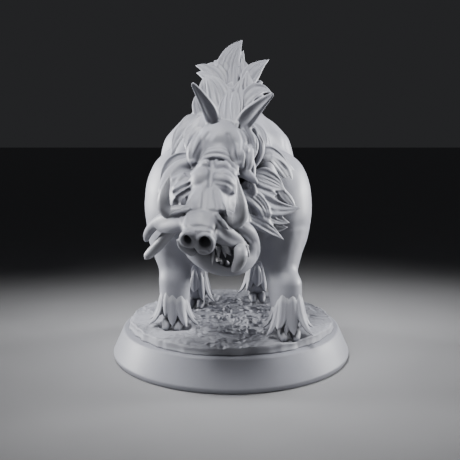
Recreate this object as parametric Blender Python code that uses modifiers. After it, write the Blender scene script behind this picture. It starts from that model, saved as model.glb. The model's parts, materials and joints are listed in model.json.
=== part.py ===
"""Grey resin figurine of a wild boar with a flame-shaped mane, on a round scenic base.

Lengths in the tables below are millimetres; MM turns them into Blender's metres.  The boar faces -Y,
+X is its left side, +Z is up, and the origin is the middle of the base's flat underside.
"""

import math

import bmesh
import bpy
from mathutils import Euler, Matrix, Vector

MM = 0.001

# Driving dimensions of the made thing
BASE_RADIUS = 25.0
BASE_TOP_RADIUS = 22.6
BASE_HEIGHT = 6.0
GROUND_RADIUS = 21.3
GROUND_THICK = 1.3
GAP = 0.2  # clearance between neighbouring solids
SPINE_X = -0.8  # the trunk stands a little to the boar's right of the base's middle

# The head's own frame: origin in the middle of the snout disc, +Y back along the head, +Z out of the brow
SNOUT_AT = (-5.4, -33.0, 28.8)
HEAD_PITCH, HEAD_YAW, HEAD_ROLL = 36.0, 10.5, 9.0

WIDEST = 0.39  # how far along a lock of mane its widest place is, from root to tip

RESIN = (0.33, 0.335, 0.36, 1.0)
RESIN_ROUGHNESS = 0.55

for old in list(bpy.data.objects):
    bpy.data.objects.remove(old, do_unlink=True)

parts = bpy.data.collections.new("boar_figurine")
tools = bpy.data.collections.new("cutters")
for group in (parts, tools):
    bpy.context.scene.collection.children.link(group)


def head_matrix():
    """Place of the head's frame in the world, in millimetres."""
    pitch, yaw, roll = (math.radians(a) for a in (HEAD_PITCH, HEAD_YAW, HEAD_ROLL))
    reach = math.cos(pitch)
    forward = Vector((-math.sin(yaw) * reach, -math.cos(yaw) * reach, -math.sin(pitch)))
    level = Vector((math.cos(yaw), -math.sin(yaw), 0.0))
    rise = forward.cross(level) * -1.0
    if rise.z < 0.0:
        rise = -rise
    side = level * math.cos(roll) - rise * math.sin(roll)
    top = rise * math.cos(roll) + level * math.sin(roll)
    turn = Matrix((side, -forward, top)).transposed()
    return Matrix.Translation(SNOUT_AT) @ turn.to_4x4()


WORLD = Matrix.Identity(4)
HEAD = head_matrix()


# ---------------------------------------------------------------- forms: what every soft shape is made of
def ellipsoid(bm, centre, radii, tilt=(0, 0, 0), frame=WORLD, grow=0.0, segments=16):
    """A ball stretched to three radii, tilted by degrees about X, Y and Z."""
    turn = Euler([math.radians(a) for a in tilt]).to_matrix().to_4x4()
    size = Matrix.Diagonal([r + grow for r in radii] + [1.0])
    place = frame @ Matrix.Translation(centre) @ turn @ size
    bmesh.ops.create_uvsphere(bm, u_segments=segments, v_segments=segments // 2, radius=1.0, matrix=place)


def limb(bm, stations, frame=WORLD, grow=0.0, segments=16):
    """A tapered limb: a ball at each station (x, y, z, radius) and a cone between neighbours."""
    for *centre, radius in stations:
        ellipsoid(bm, centre, (radius,) * 3, frame=frame, grow=grow, segments=segments)
    for start, end in zip(stations, stations[1:]):
        a, b = Vector(start[:3]), Vector(end[:3])
        turn = (b - a).to_track_quat("Z", "Y").to_matrix().to_4x4()
        place = frame @ Matrix.Translation((a + b) / 2) @ turn
        bmesh.ops.create_cone(
            bm,
            cap_ends=True,
            segments=segments,
            radius1=start[3] + grow,
            radius2=end[3] + grow,
            depth=(b - a).length,
            matrix=place,
        )


def half_space(bm, point, normal, frame=WORLD, grow=0.0, reach=80.0):
    """A large block whose one face passes through a point; it fills the side that the normal looks to."""
    normal = Vector(normal).normalized()
    turn = normal.to_track_quat("Z", "Y").to_matrix().to_4x4()
    middle = Vector(point) + normal * (reach / 2 - grow)
    bmesh.ops.create_cube(bm, size=reach, matrix=frame @ Matrix.Translation(middle) @ turn)


def lock(bm, root, tip, width, thick, sag=(0, 0, 0), face=(0, -1, 0), frame=WORLD, grow=0.0, rings=7):
    """One leaf-shaped lock of mane: a bent, flattened spike lofted from root to tip.

    sag pushes the middle of its spine sideways; face is the way that its flat side looks.
    """
    sides = 8
    root, tip, sag = Vector(root), Vector(tip), Vector(sag)
    rows = []
    for i in range(rings):
        t = i / rings
        at = root.lerp(tip, t) + sag * (4 * t * (1 - t))
        along = (tip - root + sag * (4 - 8 * t)).normalized()
        across = along.cross(Vector(face)).normalized()
        out = across.cross(along)
        if t < WIDEST:
            leaf = 0.62 + 1.55 * t - 2.0 * t * t
        else:
            leaf = 0.92 * (1 - ((t - WIDEST) / (1 - WIDEST)) ** 1.7)
        row = []
        for k in range(sides):
            turn = 2 * math.pi * k / sides
            across_by = math.cos(turn) * (width / 2 * leaf + grow)
            out_by = math.sin(turn) * (thick / 2 * (0.35 + 0.65 * leaf) + grow)
            row.append(bm.verts.new(frame @ (at + across * across_by + out * out_by)))
        rows.append(row)
    end = bm.verts.new(frame @ (tip + (tip - root).normalized() * grow * 2))
    bm.faces.new(list(reversed(rows[0])))
    for low, high in zip(rows, rows[1:]):
        for k in range(sides):
            bm.faces.new((low[k], low[(k + 1) % sides], high[(k + 1) % sides], high[k]))
    for k in range(sides):
        bm.faces.new((rows[-1][k], rows[-1][(k + 1) % sides], end))


# ---------------------------------------------------------------- objects, unions and cuts
def new_object(name, bm, collection=parts):
    """Turn a bmesh drawn in millimetres into an object in metres."""
    bmesh.ops.scale(bm, vec=(MM, MM, MM), verts=bm.verts)
    bmesh.ops.recalc_face_normals(bm, faces=bm.faces)
    mesh = bpy.data.meshes.new(name)
    bm.to_mesh(mesh)
    bm.free()
    made = bpy.data.objects.new(name, mesh)
    collection.objects.link(made)
    return made


def evaluated(obj):
    """Freeze an object's modifiers into its mesh."""
    bpy.context.view_layer.update()
    mesh = bpy.data.meshes.new_from_object(obj.evaluated_get(bpy.context.evaluated_depsgraph_get()))
    obj.modifiers.clear()
    obj.data = mesh
    return obj


def triangle_count(obj):
    return sum(len(face.vertices) - 2 for face in obj.data.polygons)


def blend(name, forms, voxel, smoothing, triangles, collection=parts, grow=0.0):
    """Melt overlapping forms into one closed skin and thin it to about a number of triangles."""
    bm = bmesh.new()
    for make, *values in forms:
        options = values.pop() if isinstance(values[-1], dict) else {}
        make(bm, *values, grow=grow, **options)
    made = new_object(name, bm, collection)
    remesh = made.modifiers.new("melt", "REMESH")
    remesh.mode = "VOXEL"
    remesh.voxel_size = voxel * MM
    if smoothing:
        smooth = made.modifiers.new("smooth", "SMOOTH")
        smooth.factor = 0.5
        smooth.iterations = smoothing
    evaluated(made)
    thin = made.modifiers.new("thin", "DECIMATE")
    thin.ratio = min(1.0, triangles / triangle_count(made))
    thin.use_collapse_triangulate = True
    return evaluated(made)


def boolean(target, cutter, operation):
    change = target.modifiers.new("cut", "BOOLEAN")
    change.operation = operation
    change.solver = "EXACT"
    change.object = cutter
    return evaluated(target)


def copy_of(obj, name, collection=parts):
    made = bpy.data.objects.new(name, obj.data.copy())
    collection.objects.link(made)
    return made


def keep_largest(obj):
    """Drop the crumbs that a cut leaves, so that the node is one body."""
    bm = bmesh.new()
    bm.from_mesh(obj.data)
    bmesh.ops.remove_doubles(bm, verts=bm.verts, dist=0.00001)
    bmesh.ops.triangulate(bm, faces=bm.faces)
    unseen = set(bm.verts)
    islands = []
    while unseen:
        island = {unseen.pop()}
        edge_of = list(island)
        while edge_of:
            for edge in edge_of.pop().link_edges:
                for vert in edge.verts:
                    if vert in unseen:
                        unseen.discard(vert)
                        island.add(vert)
                        edge_of.append(vert)
        islands.append(island)
    largest = max(islands, key=len)
    bmesh.ops.delete(bm, geom=[v for v in bm.verts if v not in largest], context="VERTS")
    bm.to_mesh(obj.data)
    bm.free()
    return obj


def tool(name, make, *values, grow=0.0, **options):
    """A cutter: one form, kept out of the model."""
    bm = bmesh.new()
    make(bm, *values, grow=grow, **options)
    made = new_object(name, bm, tools)
    made.hide_render = True
    made.display_type = "WIRE"
    return made


def paint(obj):
    """Give each sub-part its own grey resin."""
    resin = bpy.data.materials.new("resin_" + obj.name)
    resin.use_nodes = True
    shader = resin.node_tree.nodes["Principled BSDF"]
    shader.inputs["Base Color"].default_value = RESIN
    shader.inputs["Roughness"].default_value = RESIN_ROUGHNESS
    shader.inputs["Metallic"].default_value = 0.0
    obj.data.materials.clear()
    obj.data.materials.append(resin)
    obj.data.shade_smooth()
    obj.data.set_sharp_from_angle(angle=math.radians(40))


# ---------------------------------------------------------------- base
def turned(name, profile, steps, collection=parts):
    """Spin an (r, z) profile, listed from the axis over the outside and back to the axis."""
    bm = bmesh.new()
    line = [bm.verts.new((r, 0.0, z)) for r, z in profile]
    for a, b in zip(line, line[1:]):
        bm.edges.new((a, b))
    bmesh.ops.scale(bm, vec=(MM, MM, MM), verts=bm.verts)
    mesh = bpy.data.meshes.new(name)
    bm.to_mesh(mesh)
    bm.free()
    made = bpy.data.objects.new(name, mesh)
    collection.objects.link(made)
    screw = made.modifiers.new("turn", "SCREW")
    screw.steps = screw.render_steps = steps
    screw.use_merge_vertices = True
    screw.merge_threshold = 0.00001
    return evaluated(made)


def make_base():
    """The round rim: a low cone with a rounded shoulder and a foot chamfer."""
    shoulder = 0.9
    arc = [(math.cos(a), math.sin(a)) for a in (math.radians(d) for d in (90, 50, 6))]
    middle = (BASE_TOP_RADIUS - shoulder / 2, BASE_HEIGHT - shoulder)
    edge = [(middle[0] + shoulder * c, middle[1] + shoulder * s) for c, s in arc]
    foot = [(BASE_RADIUS, 0.4), (BASE_RADIUS, 0.0)]
    return turned("base_rim", [(0.0, BASE_HEIGHT)] + edge + foot + [(0.0, 0.0)], 48)


def ground_height(x, y):
    """Height of the muddy ground above the rim's top: a low hump behind, soft ruts and pebbles."""
    hump = 1.3 * math.exp(-(((x - 0.0) / 9.0) ** 2 + ((y - 18.0) / 4.0) ** 2))
    ruts = 0.12 * math.sin(0.55 * x + 1.3) * math.cos(0.48 * y - 0.4) + 0.08 * math.sin(1.1 * x - 0.7 * y)
    return GROUND_THICK + hump + ruts


def make_ground(name="ground", lift=0.0, collection=parts):
    """The ground on the rim: a turned slab whose edge wanders and whose top is pressed into ruts."""
    bottom = BASE_HEIGHT + GAP
    rings = [GROUND_RADIUS * k / 6 for k in range(7)]
    profile = [(r, bottom + 1.0) for r in rings] + [(GROUND_RADIUS, bottom), (0.0, bottom)]
    slab = turned(name, profile, 44, collection)
    for vert in slab.data.vertices:
        x, y, z = (c / MM for c in vert.co)
        angle, reach = math.atan2(y, x), math.hypot(x, y)
        wander = 1.0 + 0.018 * math.sin(5 * angle + 0.6) + 0.012 * math.sin(11 * angle)
        wander += 0.008 * math.cos(17 * angle)
        if reach > GROUND_RADIUS * 0.95:
            x, y = x * wander, y * wander
        if z > bottom + 0.5:
            edge_drop = 0.25 if reach > GROUND_RADIUS * 0.95 else 0.0
            z = BASE_HEIGHT + ground_height(x, y) - edge_drop + lift
        vert.co = Vector((x, y, z)) * MM
    return slab


# ---------------------------------------------------------------- pieces that clear one another
clearances = []


def box_of(obj):
    points = [vert.co for vert in obj.data.vertices]
    low = Vector([min(p[i] for p in points) for i in range(3)])
    high = Vector([max(p[i] for p in points) for i in range(3)])
    return low, high


def clear_of_neighbours(obj):
    """Cut a piece back from every earlier piece that its box meets."""
    for other in clearances:
        (low, high), (other_low, other_high) = box_of(obj), box_of(other)
        if all(low[i] < other_high[i] and other_low[i] < high[i] for i in range(3)):
            boolean(obj, other, "DIFFERENCE")
    return obj


def piece(name, forms, voxel, smoothing, triangles, inside=None, carve=()):
    """One sub-part: melt its forms, clear its neighbours, and stand in the way of later ones."""
    made = blend(name, forms, voxel, smoothing, triangles)
    for cutter in carve:
        boolean(made, cutter, "DIFFERENCE")
    clear_of_neighbours(made)
    if inside:
        boolean(made, inside, "INTERSECT")
    keep_largest(made)
    clearances.append(blend(name + "_clear", forms, voxel, smoothing, triangles, tools, GAP))
    return made


def placed(forms, frame):
    """The same forms in another frame."""
    return [(make, *values, {"frame": frame}) for make, *values in forms]


def mirrored(forms):
    """Forms of the other side of the head: every X changes sign."""
    flipped = []
    for make, *values in forms:
        if make is limb:
            values = [[(-x, y, z, r) for x, y, z, r in values[0]]]
        else:
            values = [(-values[0][0], *values[0][1:])] + values[1:]
        flipped.append((make, *values))
    return flipped


# ---------------------------------------------------------------- the boar's flesh
BODY_FORMS = [
    (ellipsoid, (SPINE_X, 4.0, 32.5), (15.2, 18.0, 14.8)),
    (ellipsoid, (SPINE_X - 0.1, 4.0, 41.0), (14.4, 12.5, 10.6), (-6, 0, 0)),
    (ellipsoid, (SPINE_X - 0.1, 4.5, 45.6), (9.0, 12.0, 9.0), (-4, 0, 0)),
    (ellipsoid, (SPINE_X - 0.4, -5.0, 29.9), (11.2, 11.0, 12.0)),
    (ellipsoid, (SPINE_X, 13.5, 33.5), (12.3, 11.0, 13.6)),
    (ellipsoid, (-10.9, -4.5, 31.5), (6.3, 8.5, 12.5), (8, 3, 0)),
    (ellipsoid, (9.4, -6.5, 31.0), (6.3, 8.5, 12.5), (8, -3, 0)),
    (ellipsoid, (-9.6, 12.0, 27.0), (6.0, 8.0, 10.0)),
    (ellipsoid, (7.8, 14.0, 27.0), (6.0, 8.0, 10.0)),
    (limb, [(SPINE_X, 23.0, 40.0, 1.5), (-1.1, 26.2, 37.0, 1.1)]),
    (limb, [(-1.1, 26.2, 37.0, 1.1), (-2.0, 27.3, 32.0, 0.9), (-2.8, 26.6, 28.0, 0.8)]),
]
LEGS = {
    "front_right": [
        (-12.0, -5.0, 26.0, 5.0),
        (-11.2, -6.4, 18.5, 3.1),
        (-11.2, -6.8, 13.5, 2.6),
        (-11.3, -7.0, 11.6, 2.5),
    ],
    "front_left": [
        (9.8, -9.0, 26.0, 5.0),
        (9.5, -12.2, 18.5, 2.9),
        (10.2, -13.2, 13.5, 2.5),
        (10.6, -13.6, 11.6, 2.4),
    ],
    "hind_right": [
        (-9.0, 11.5, 24.5, 5.4),
        (-8.1, 12.0, 17.0, 2.7),
        (-7.8, 9.4, 12.8, 2.2),
        (-7.7, 8.6, 11.2, 2.2),
    ],
    "hind_left": [
        (7.3, 15.0, 24.5, 5.4),
        (6.4, 16.6, 17.0, 2.7),
        (6.0, 14.6, 12.8, 2.2),
        (5.9, 13.8, 11.2, 2.2),
    ],
}
NECK_FORMS = [(limb, [(SPINE_X - 0.1, 2.0, 43.5, 10.0), (-1.3, -6.0, 43.0, 8.8), (-1.9, -12.5, 41.5, 6.9)])]
BODY_FORMS += NECK_FORMS + [(limb, stations) for stations in LEGS.values()]

SKULL = [
    (ellipsoid, (0.0, 18.5, -1.2), (5.5, 8.4, 6.0)),
    (limb, [(0.0, 15.0, -0.2, 4.4), (0.0, 8.0, 0.1, 3.5), (0.0, 2.5, 0.0, 2.9)]),
    (ellipsoid, (0.0, 0.7, 0.0), (3.5, 1.1, 2.9)),
    (ellipsoid, (0.2, 20.8, 2.3), (4.8, 4.8, 3.8)),
]
FACE_SIDE = [
    (limb, [(1.8, 17.6, 2.8, 1.5), (4.4, 17.2, 3.3, 1.5)]),
    (ellipsoid, (2.0, 12.7, 2.3), (2.3, 3.0, 2.1)),
    (ellipsoid, (4.9, 17.0, -2.0), (3.0, 5.5, 4.4)),
    (limb, [(5.0, 9.0, -1.0, 2.6), (5.2, 13.0, -2.0, 2.6)]),
]
LIPS = [
    (limb, [(2.2, 5.0, 0.4, 1.7), (6.3, 6.8, -1.2, 1.9), (9.0, 7.6, -4.4, 1.5), (9.6, 7.6, -8.2, 0.9)]),
    (limb, [(-2.2, 5.0, 0.4, 1.7), (-6.3, 6.8, -1.2, 1.9), (-9.2, 7.6, -4.4, 1.5), (-10.2, 7.6, -8.4, 0.9)]),
]
HEAD_FORMS = SKULL + FACE_SIDE + mirrored(FACE_SIDE) + LIPS
# the open lower jaw is a heavy chin, swung to the boar's left and rolled with the muzzle
JAW_FORMS = [
    (ellipsoid, (2.7, 6.5, -6.6), (7.0, 5.8, 4.0), (0, 18, 0)),
    (limb, [(-1.6, 9.0, -5.4, 3.0), (-3.6, 15.0, -5.0, 2.4)]),
    (limb, [(5.2, 9.5, -7.6, 3.2), (5.6, 15.5, -5.6, 2.6)]),
]

# What of the flesh lies inside a region becomes that node: the far side of a plane, or a rounded solid.
HEAD_REGION = (half_space, (-1.5, -13.6, 44.0), (-0.08, -0.93, 0.34))
SNOUT_REGION = (half_space, (0.0, 1.8, 0.0), (0, -1, 0), HEAD)
BODY_REGIONS = {
    "neck": (half_space, (SPINE_X, -9.5, 41.0), (0, -0.78, 0.62)),
    "tail": (half_space, (SPINE_X, 24.4, 38.0), (0, 1, 0.15)),
    "leg_front_right": (ellipsoid, (-13.0, -7.0, 15.0), (9.0, 8.0, 13.5)),
    "leg_front_left": (ellipsoid, (11.8, -12.0, 15.0), (9.0, 8.0, 13.5)),
    "leg_hind_right": (ellipsoid, (-9.5, 11.5, 14.0), (7.5, 8.5, 13.5)),
    "leg_hind_left": (ellipsoid, (7.5, 15.5, 14.0), (7.5, 8.5, 13.5)),
}


def region_tool(name, region, grow=0.0):
    make, *values = region
    return tool(name, make, *values, grow=grow)


def thin(obj, share):
    """Drop the slivers that the cuts left: keep only a share of the triangles."""
    fewer = obj.modifiers.new("thin", "DECIMATE")
    fewer.ratio = share
    fewer.use_collapse_triangulate = True
    return keep_largest(evaluated(obj))


def part_off(body, name, region):
    """Split a node off the body with one cut and leave a clearance."""
    keep_largest(boolean(copy_of(body, name), region_tool(name + "_region", region), "INTERSECT"))
    boolean(body, region_tool(name + "_room", region, GAP), "DIFFERENCE")


def make_body():
    """Trunk, neck, legs and tail, modelled whole and then parted."""
    body = blend("trunk", BODY_FORMS, 0.5, 5, 2100)
    boolean(body, region_tool("head_room", HEAD_REGION, GAP), "DIFFERENCE")
    keep_largest(body)
    for name, region in BODY_REGIONS.items():
        part_off(body, name, region)
    keep_largest(body)


# ---------------------------------------------------------------- head
EYES = {"eye_right": (-3.6, 15.9, 2.5), "eye_left": (3.9, 15.9, 2.5)}
EYE_RADIUS = 0.95
EAR_WIDTH, EAR_THICK = 4.6, 1.9
EARS = {
    "ear_right": ((-3.2, 23.2, 4.0), (-5.7, 25.2, 13.2), (-0.3, -1.0, 0.3)),
    "ear_left": ((4.9, 23.4, 3.6), (8.5, 25.2, 13.0), (0.3, -1.0, 0.2)),
}
TUSKS = {
    "tusk_upper_right": [
        (-2.4, 6.0, 0.6, 1.3),
        (-5.4, 6.0, -0.5, 1.25),
        (-7.0, 6.8, 1.0, 1.05),
        (-7.1, 7.8, 3.2, 0.65),
        (-6.5, 8.7, 5.2, 0.25),
    ],
    "tusk_upper_left": [
        (2.2, 6.0, 0.8, 1.3),
        (4.6, 6.0, -0.2, 1.25),
        (6.1, 6.8, 1.2, 1.05),
        (5.8, 7.8, 3.6, 0.65),
        (4.9, 8.7, 5.8, 0.25),
    ],
    "tusk_lower_right": [
        (-5.4, 7.8, -6.0, 0.95),
        (-7.5, 6.9, -7.6, 0.95),
        (-9.0, 6.2, -9.4, 0.85),
        (-10.2, 5.4, -10.8, 0.65),
    ],
    "tusk_lower_left": [
        (6.5, 2.8, -3.8, 1.05),
        (7.1, 1.2, -4.6, 1.15),
        (6.9, 0.5, -5.6, 1.0),
        (5.9, 0.4, -6.3, 0.6),
    ],
}


def make_head():
    """The head with its snout, eyes, ears, jaw and tusks."""
    nostrils = [
        tool("nostril_" + side, ellipsoid, (x, -0.5, 0.3), (0.75, 1.3, 0.8), (0, 0, 0), HEAD, segments=8)
        for side, x in (("right", -1.45), ("left", 1.3))
    ]
    sockets = [
        tool(name + "_socket", ellipsoid, centre, (EYE_RADIUS,) * 3, (0, 0, 0), HEAD, grow=GAP, segments=12)
        for name, centre in EYES.items()
    ]
    inside = region_tool("head_region", HEAD_REGION)
    head = piece("head", placed(HEAD_FORMS, HEAD) + NECK_FORMS, 0.35, 3, 1900, inside, nostrils + sockets)
    part_off(head, "snout", SNOUT_REGION)
    keep_largest(head)
    clearances.append(blend("body_clear", BODY_FORMS, 0.5, 5, 2100, tools, GAP))
    for name, centre in EYES.items():
        eye = tool(name, ellipsoid, centre, (EYE_RADIUS,) * 3, (0, 0, 0), HEAD, segments=10)
        tools.objects.unlink(eye)
        parts.objects.link(eye)
        eye.hide_render = False
        eye.display_type = "TEXTURED"
    piece("lower_jaw", placed(JAW_FORMS, HEAD), 0.35, 2, 340, inside)
    for name, stations in TUSKS.items():
        piece(name, [(limb, stations, {"frame": HEAD})], 0.25, 1, 90)
    for name, (root, tip, face) in EARS.items():
        middle = Vector(root).lerp(Vector(tip), 0.5) + Vector(face).normalized() * 1.1
        lean = math.degrees(math.atan2(tip[0] - root[0], tip[2] - root[2]))
        cup = tool(name + "_cup", ellipsoid, middle, (1.35, 1.15, 3.5), (0, lean, 0), HEAD, segments=10)
        leaf = (lock, root, tip, EAR_WIDTH, EAR_THICK, (0, 0.5, 0), face, {"frame": HEAD})
        piece(name, [leaf], 0.3, 1, 150, carve=[cup])


# ---------------------------------------------------------------- feet
HOOF_SIDE = [
    (limb, [(1.25, 0.3, 2.9, 1.1), (1.3, -1.1, 1.1, 1.25)]),
    (limb, [(0.9, 2.1, 2.2, 0.55), (1.1, 2.5, 1.3, 0.55)]),
]
HOOF_FORMS = HOOF_SIDE + mirrored(HOOF_SIDE) + [(ellipsoid, (0.0, 0.6, 2.9), (1.7, 1.9, 0.9))]
FEET = {
    "front_right": ((-11.4, -7.4), -8.0, 1.0),
    "front_left": ((10.8, -14.0), 6.0, 1.0),
    "hind_right": ((-7.7, 8.2), -6.0, 0.88),
    "hind_left": ((5.9, 13.4), 8.0, 0.88),
}
TUFT_LEAVES = 8


def tuft_forms(frame, size):
    """A cuff of pointed leaves that flare over the hoof."""
    forms = [(limb, [(0, 0, 6.0, 3.05 * size), (0, 0, 4.4, 3.25 * size)], {"frame": frame})]
    for k in range(TUFT_LEAVES):
        angle = 2 * math.pi * (k + 0.35 * math.sin(5.0 * k)) / TUFT_LEAVES
        away = Vector((math.sin(angle), -math.cos(angle), 0.0))
        reach = size * (4.5 + 0.7 * math.sin(3.7 * k + 1.0))
        drop = 1.5 + 0.6 * math.cos(2.3 * k)
        root = away * 2.3 * size + Vector((0, 0, 6.6 * size))
        tip = away * reach + Vector((0, 0, drop))
        face = (away.x, away.y, 0.5)
        forms.append((lock, root, tip, 2.8 * size, 1.1, away * 0.35, face, {"frame": frame}))
    return forms


def make_feet():
    """Cloven hooves and the tufts of hair over them."""
    for name, ((x, y), yaw, size) in FEET.items():
        level = BASE_HEIGHT + ground_height(x, y)
        frame = Matrix.Translation((x, y, level)) @ Matrix.Rotation(math.radians(yaw), 4, "Z")
        piece("fetlock_" + name, tuft_forms(frame, size), 0.25, 0, 240)
        piece("hoof_" + name, placed(HOOF_FORMS, frame @ Matrix.Scale(size, 4)), 0.25, 1, 130)


# ---------------------------------------------------------------- mane and ruff
# a lock is: root, tip, width, thickness, sag of the spine, the way its flat side looks
# and every group grows out of a raised bed of flesh, so that it is one piece
BEDS = {
    "mane_front": [(-1.7, -14.0, 46.4, 2.4), (-1.5, -8.0, 50.4, 2.9), (-1.2, -4.5, 51.6, 3.0)],
    "mane_middle": [(-1.1, -2.5, 52.4, 3.2), (-0.9, 4.5, 53.8, 3.0)],
    "mane_rear": [
        (-0.9, 8.0, 53.2, 2.6),
        (-0.9, 12.5, 51.4, 2.4),
        (-0.9, 17.0, 47.6, 2.1),
        (-0.9, 20.5, 44.2, 1.7),
    ],
    "ruff_left": [
        (4.6, -9.6, 46.0, 2.0),
        (5.8, -12.4, 41.0, 2.5),
        (5.8, -13.8, 36.5, 2.4),
        (5.4, -14.0, 33.0, 2.0),
    ],
    "ruff_right": [
        (-6.8, -9.6, 46.2, 1.9),
        (-8.6, -11.8, 41.5, 2.3),
        (-8.6, -13.4, 37.0, 2.2),
        (-7.8, -13.8, 34.0, 1.9),
    ],
    "tail_tuft": [(-2.8, 26.6, 28.6, 1.2), (-2.9, 26.6, 27.2, 1.2)],
}
LOCKS = {
    "mane_front": [
        ((-1.6, -15.0, 46.5), (-1.4, -9.0, 54.0), 4.0, 1.6, (0, 0.6, 0.6), (0, -1, 0.5)),
        ((-3.2, -9.5, 49.0), (-4.4, -2.5, 58.6), 5.4, 1.7, (-0.8, 0, 0), (-0.5, -1, 0.3)),
        ((-1.2, -9.5, 49.5), (-1.6, -3.0, 59.0), 5.4, 1.8, (0, 0, 0.6), (0, -1, 0.4)),
        ((0.9, -9.5, 49.5), (2.6, -4.0, 57.8), 4.0, 1.7, (0, 0, 0.4), (0.2, -1, 0.4)),
        ((1.8, -7.5, 49.5), (8.2, -6.2, 54.0), 5.0, 1.8, (0.6, 0, 1.5), (0.3, -1, 0.6)),
        ((-3.2, -7.5, 49.0), (-8.4, -5.0, 52.4), 4.6, 1.8, (-0.6, 0, 0.7), (-0.4, -1, 0.2)),
    ],
    "mane_middle": [
        ((-2.6, -1.5, 52.0), (-7.4, 2.6, 60.2), 4.6, 1.7, (-0.4, 0, 0.6), (-0.3, -1, 0.2)),
        ((-2.6, 0.0, 52.0), (-4.6, 5.0, 60.8), 4.8, 1.8, (0, 0, 0), (-0.2, -1, 0.2)),
        ((-0.4, 3.0, 52.5), (2.9, 10.2, 66.8), 6.2, 2.3, (-1.5, 0, 0.4), (0, -1, 0.3)),
        ((0.9, 2.5, 52.5), (3.2, 9.0, 63.8), 4.0, 1.9, (0.4, 0, 0), (0.2, -1, 0.2)),
        ((1.6, -1.0, 52.0), (8.3, 4.2, 61.6), 4.8, 1.8, (-0.7, 0, 0.8), (0.2, -1, 0.2)),
        ((0.2, -3.0, 52.0), (0.6, 3.0, 61.5), 5.4, 2.0, (0, 0, 0.4), (0, -1, 0.3)),
    ],
    "mane_rear": [
        ((-0.9, 8.0, 52.5), (-0.5, 17.0, 63.0), 5.0, 2.0, (-0.4, 0, 0.8), (1, 0.2, 0)),
        ((-1.6, 11.0, 51.0), (-3.6, 19.5, 59.0), 4.6, 1.9, (-0.4, 0, 0.8), (1, 0.2, 0)),
        ((-0.2, 11.5, 51.0), (2.2, 20.0, 58.5), 4.6, 1.9, (0.4, 0, 0.8), (1, 0.2, 0)),
        ((-0.9, 14.5, 49.0), (-1.2, 23.5, 54.5), 4.4, 1.9, (0, 0, 0.8), (1, 0.1, 0)),
        ((-0.9, 18.0, 46.0), (-0.6, 26.0, 49.0), 3.8, 1.8, (0, 0, 0.8), (1, 0.1, 0)),
    ],
    "ruff_left": [
        ((5.0, -11.5, 44.0), (11.4, -12.6, 38.2), 5.2, 2.0, (0.8, -1.2, 2.2), (0.4, -1, 0.3)),
        ((5.4, -13.2, 40.6), (10.9, -14.6, 35.0), 6.0, 2.2, (0.4, -1.2, 1.0), (0.4, -1, 0.2)),
        ((5.2, -14.0, 36.6), (13.2, -15.2, 32.4), 4.8, 2.0, (0, -1.4, -1.2), (0.3, -1, 0.3)),
        ((5.0, -14.0, 33.0), (10.2, -16.6, 26.4), 5.2, 2.0, (0.6, -1.0, 0), (0.3, -1, 0)),
        ((4.8, -9.5, 47.0), (4.8, -12.6, 40.0), 3.0, 1.8, (1.4, 0, 0), (0.8, -1, 0.2)),
    ],
    "ruff_right": [
        ((-6.2, -9.5, 46.6), (-9.6, -11.4, 42.0), 3.8, 1.8, (-0.8, 0, 0.6), (-0.6, -1, 0.2)),
        ((-7.6, -11.8, 42.6), (-12.4, -12.4, 37.8), 5.4, 2.0, (-0.5, -0.8, 1.0), (-0.4, -1, 0.2)),
        ((-7.8, -13.2, 39.0), (-11.6, -15.0, 33.6), 5.4, 2.0, (-0.5, -1.0, 0.6), (-0.4, -1, 0.2)),
        ((-7.2, -13.6, 35.0), (-11.2, -15.4, 29.6), 5.0, 2.0, (-0.4, -1.0, 0), (-0.3, -1, 0.1)),
    ],
    "tail_tuft": [
        ((-2.8, 26.7, 28.2), (-3.5, 27.2, 22.2), 2.8, 1.9, (0.3, 0.4, 0), (0, 1, 0)),
        ((-2.8, 26.6, 28.0), (-2.0, 25.6, 23.2), 2.4, 1.7, (0, -0.2, 0), (1, 1, 0)),
    ],
}
LOCK_TRIANGLES = 62


def make_hair():
    """Flame-shaped locks: the mane along the spine, the ruffs beside the cheeks and the tail's end."""
    for name, locks in LOCKS.items():
        forms = [(limb, BEDS[name])] + [(lock, *values) for values in locks]
        piece(name, forms, 0.3, 0, LOCK_TRIANGLES * (len(locks) + 1))


# the cuts leave slivers, so every node that was cut is thinned once more at the end
KEPT_WHOLE = ("base_rim", "ground", "eye_left", "eye_right")
SHARE_KEPT = 0.62

make_base()
make_ground()
make_body()
make_head()
clearances.append(make_ground("ground_clear", GAP, tools))
make_feet()
make_hair()
for cutter in tools.objects:
    cutter.hide_render = True
    cutter.display_type = "WIRE"
for made in parts.objects:
    if made.name not in KEPT_WHOLE:
        thin(made, SHARE_KEPT)
    paint(made)
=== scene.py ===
# %% [markdown]
# # A grey resin boar figurine
#
# The real thing is a tabletop figurine: a bristling, tusked boar beast, cast in one grey resin and left
# unpainted, on a round base with trodden mud.  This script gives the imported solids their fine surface.
# The flesh is modelled the way a digital sculptor works: a block of clay is built up and cut back with
# brushes, then skinned.  Hair locks, tusks, hooves, ground and rim are made on their own and set on it.

# %% Load the frame
import json
import math

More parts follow.
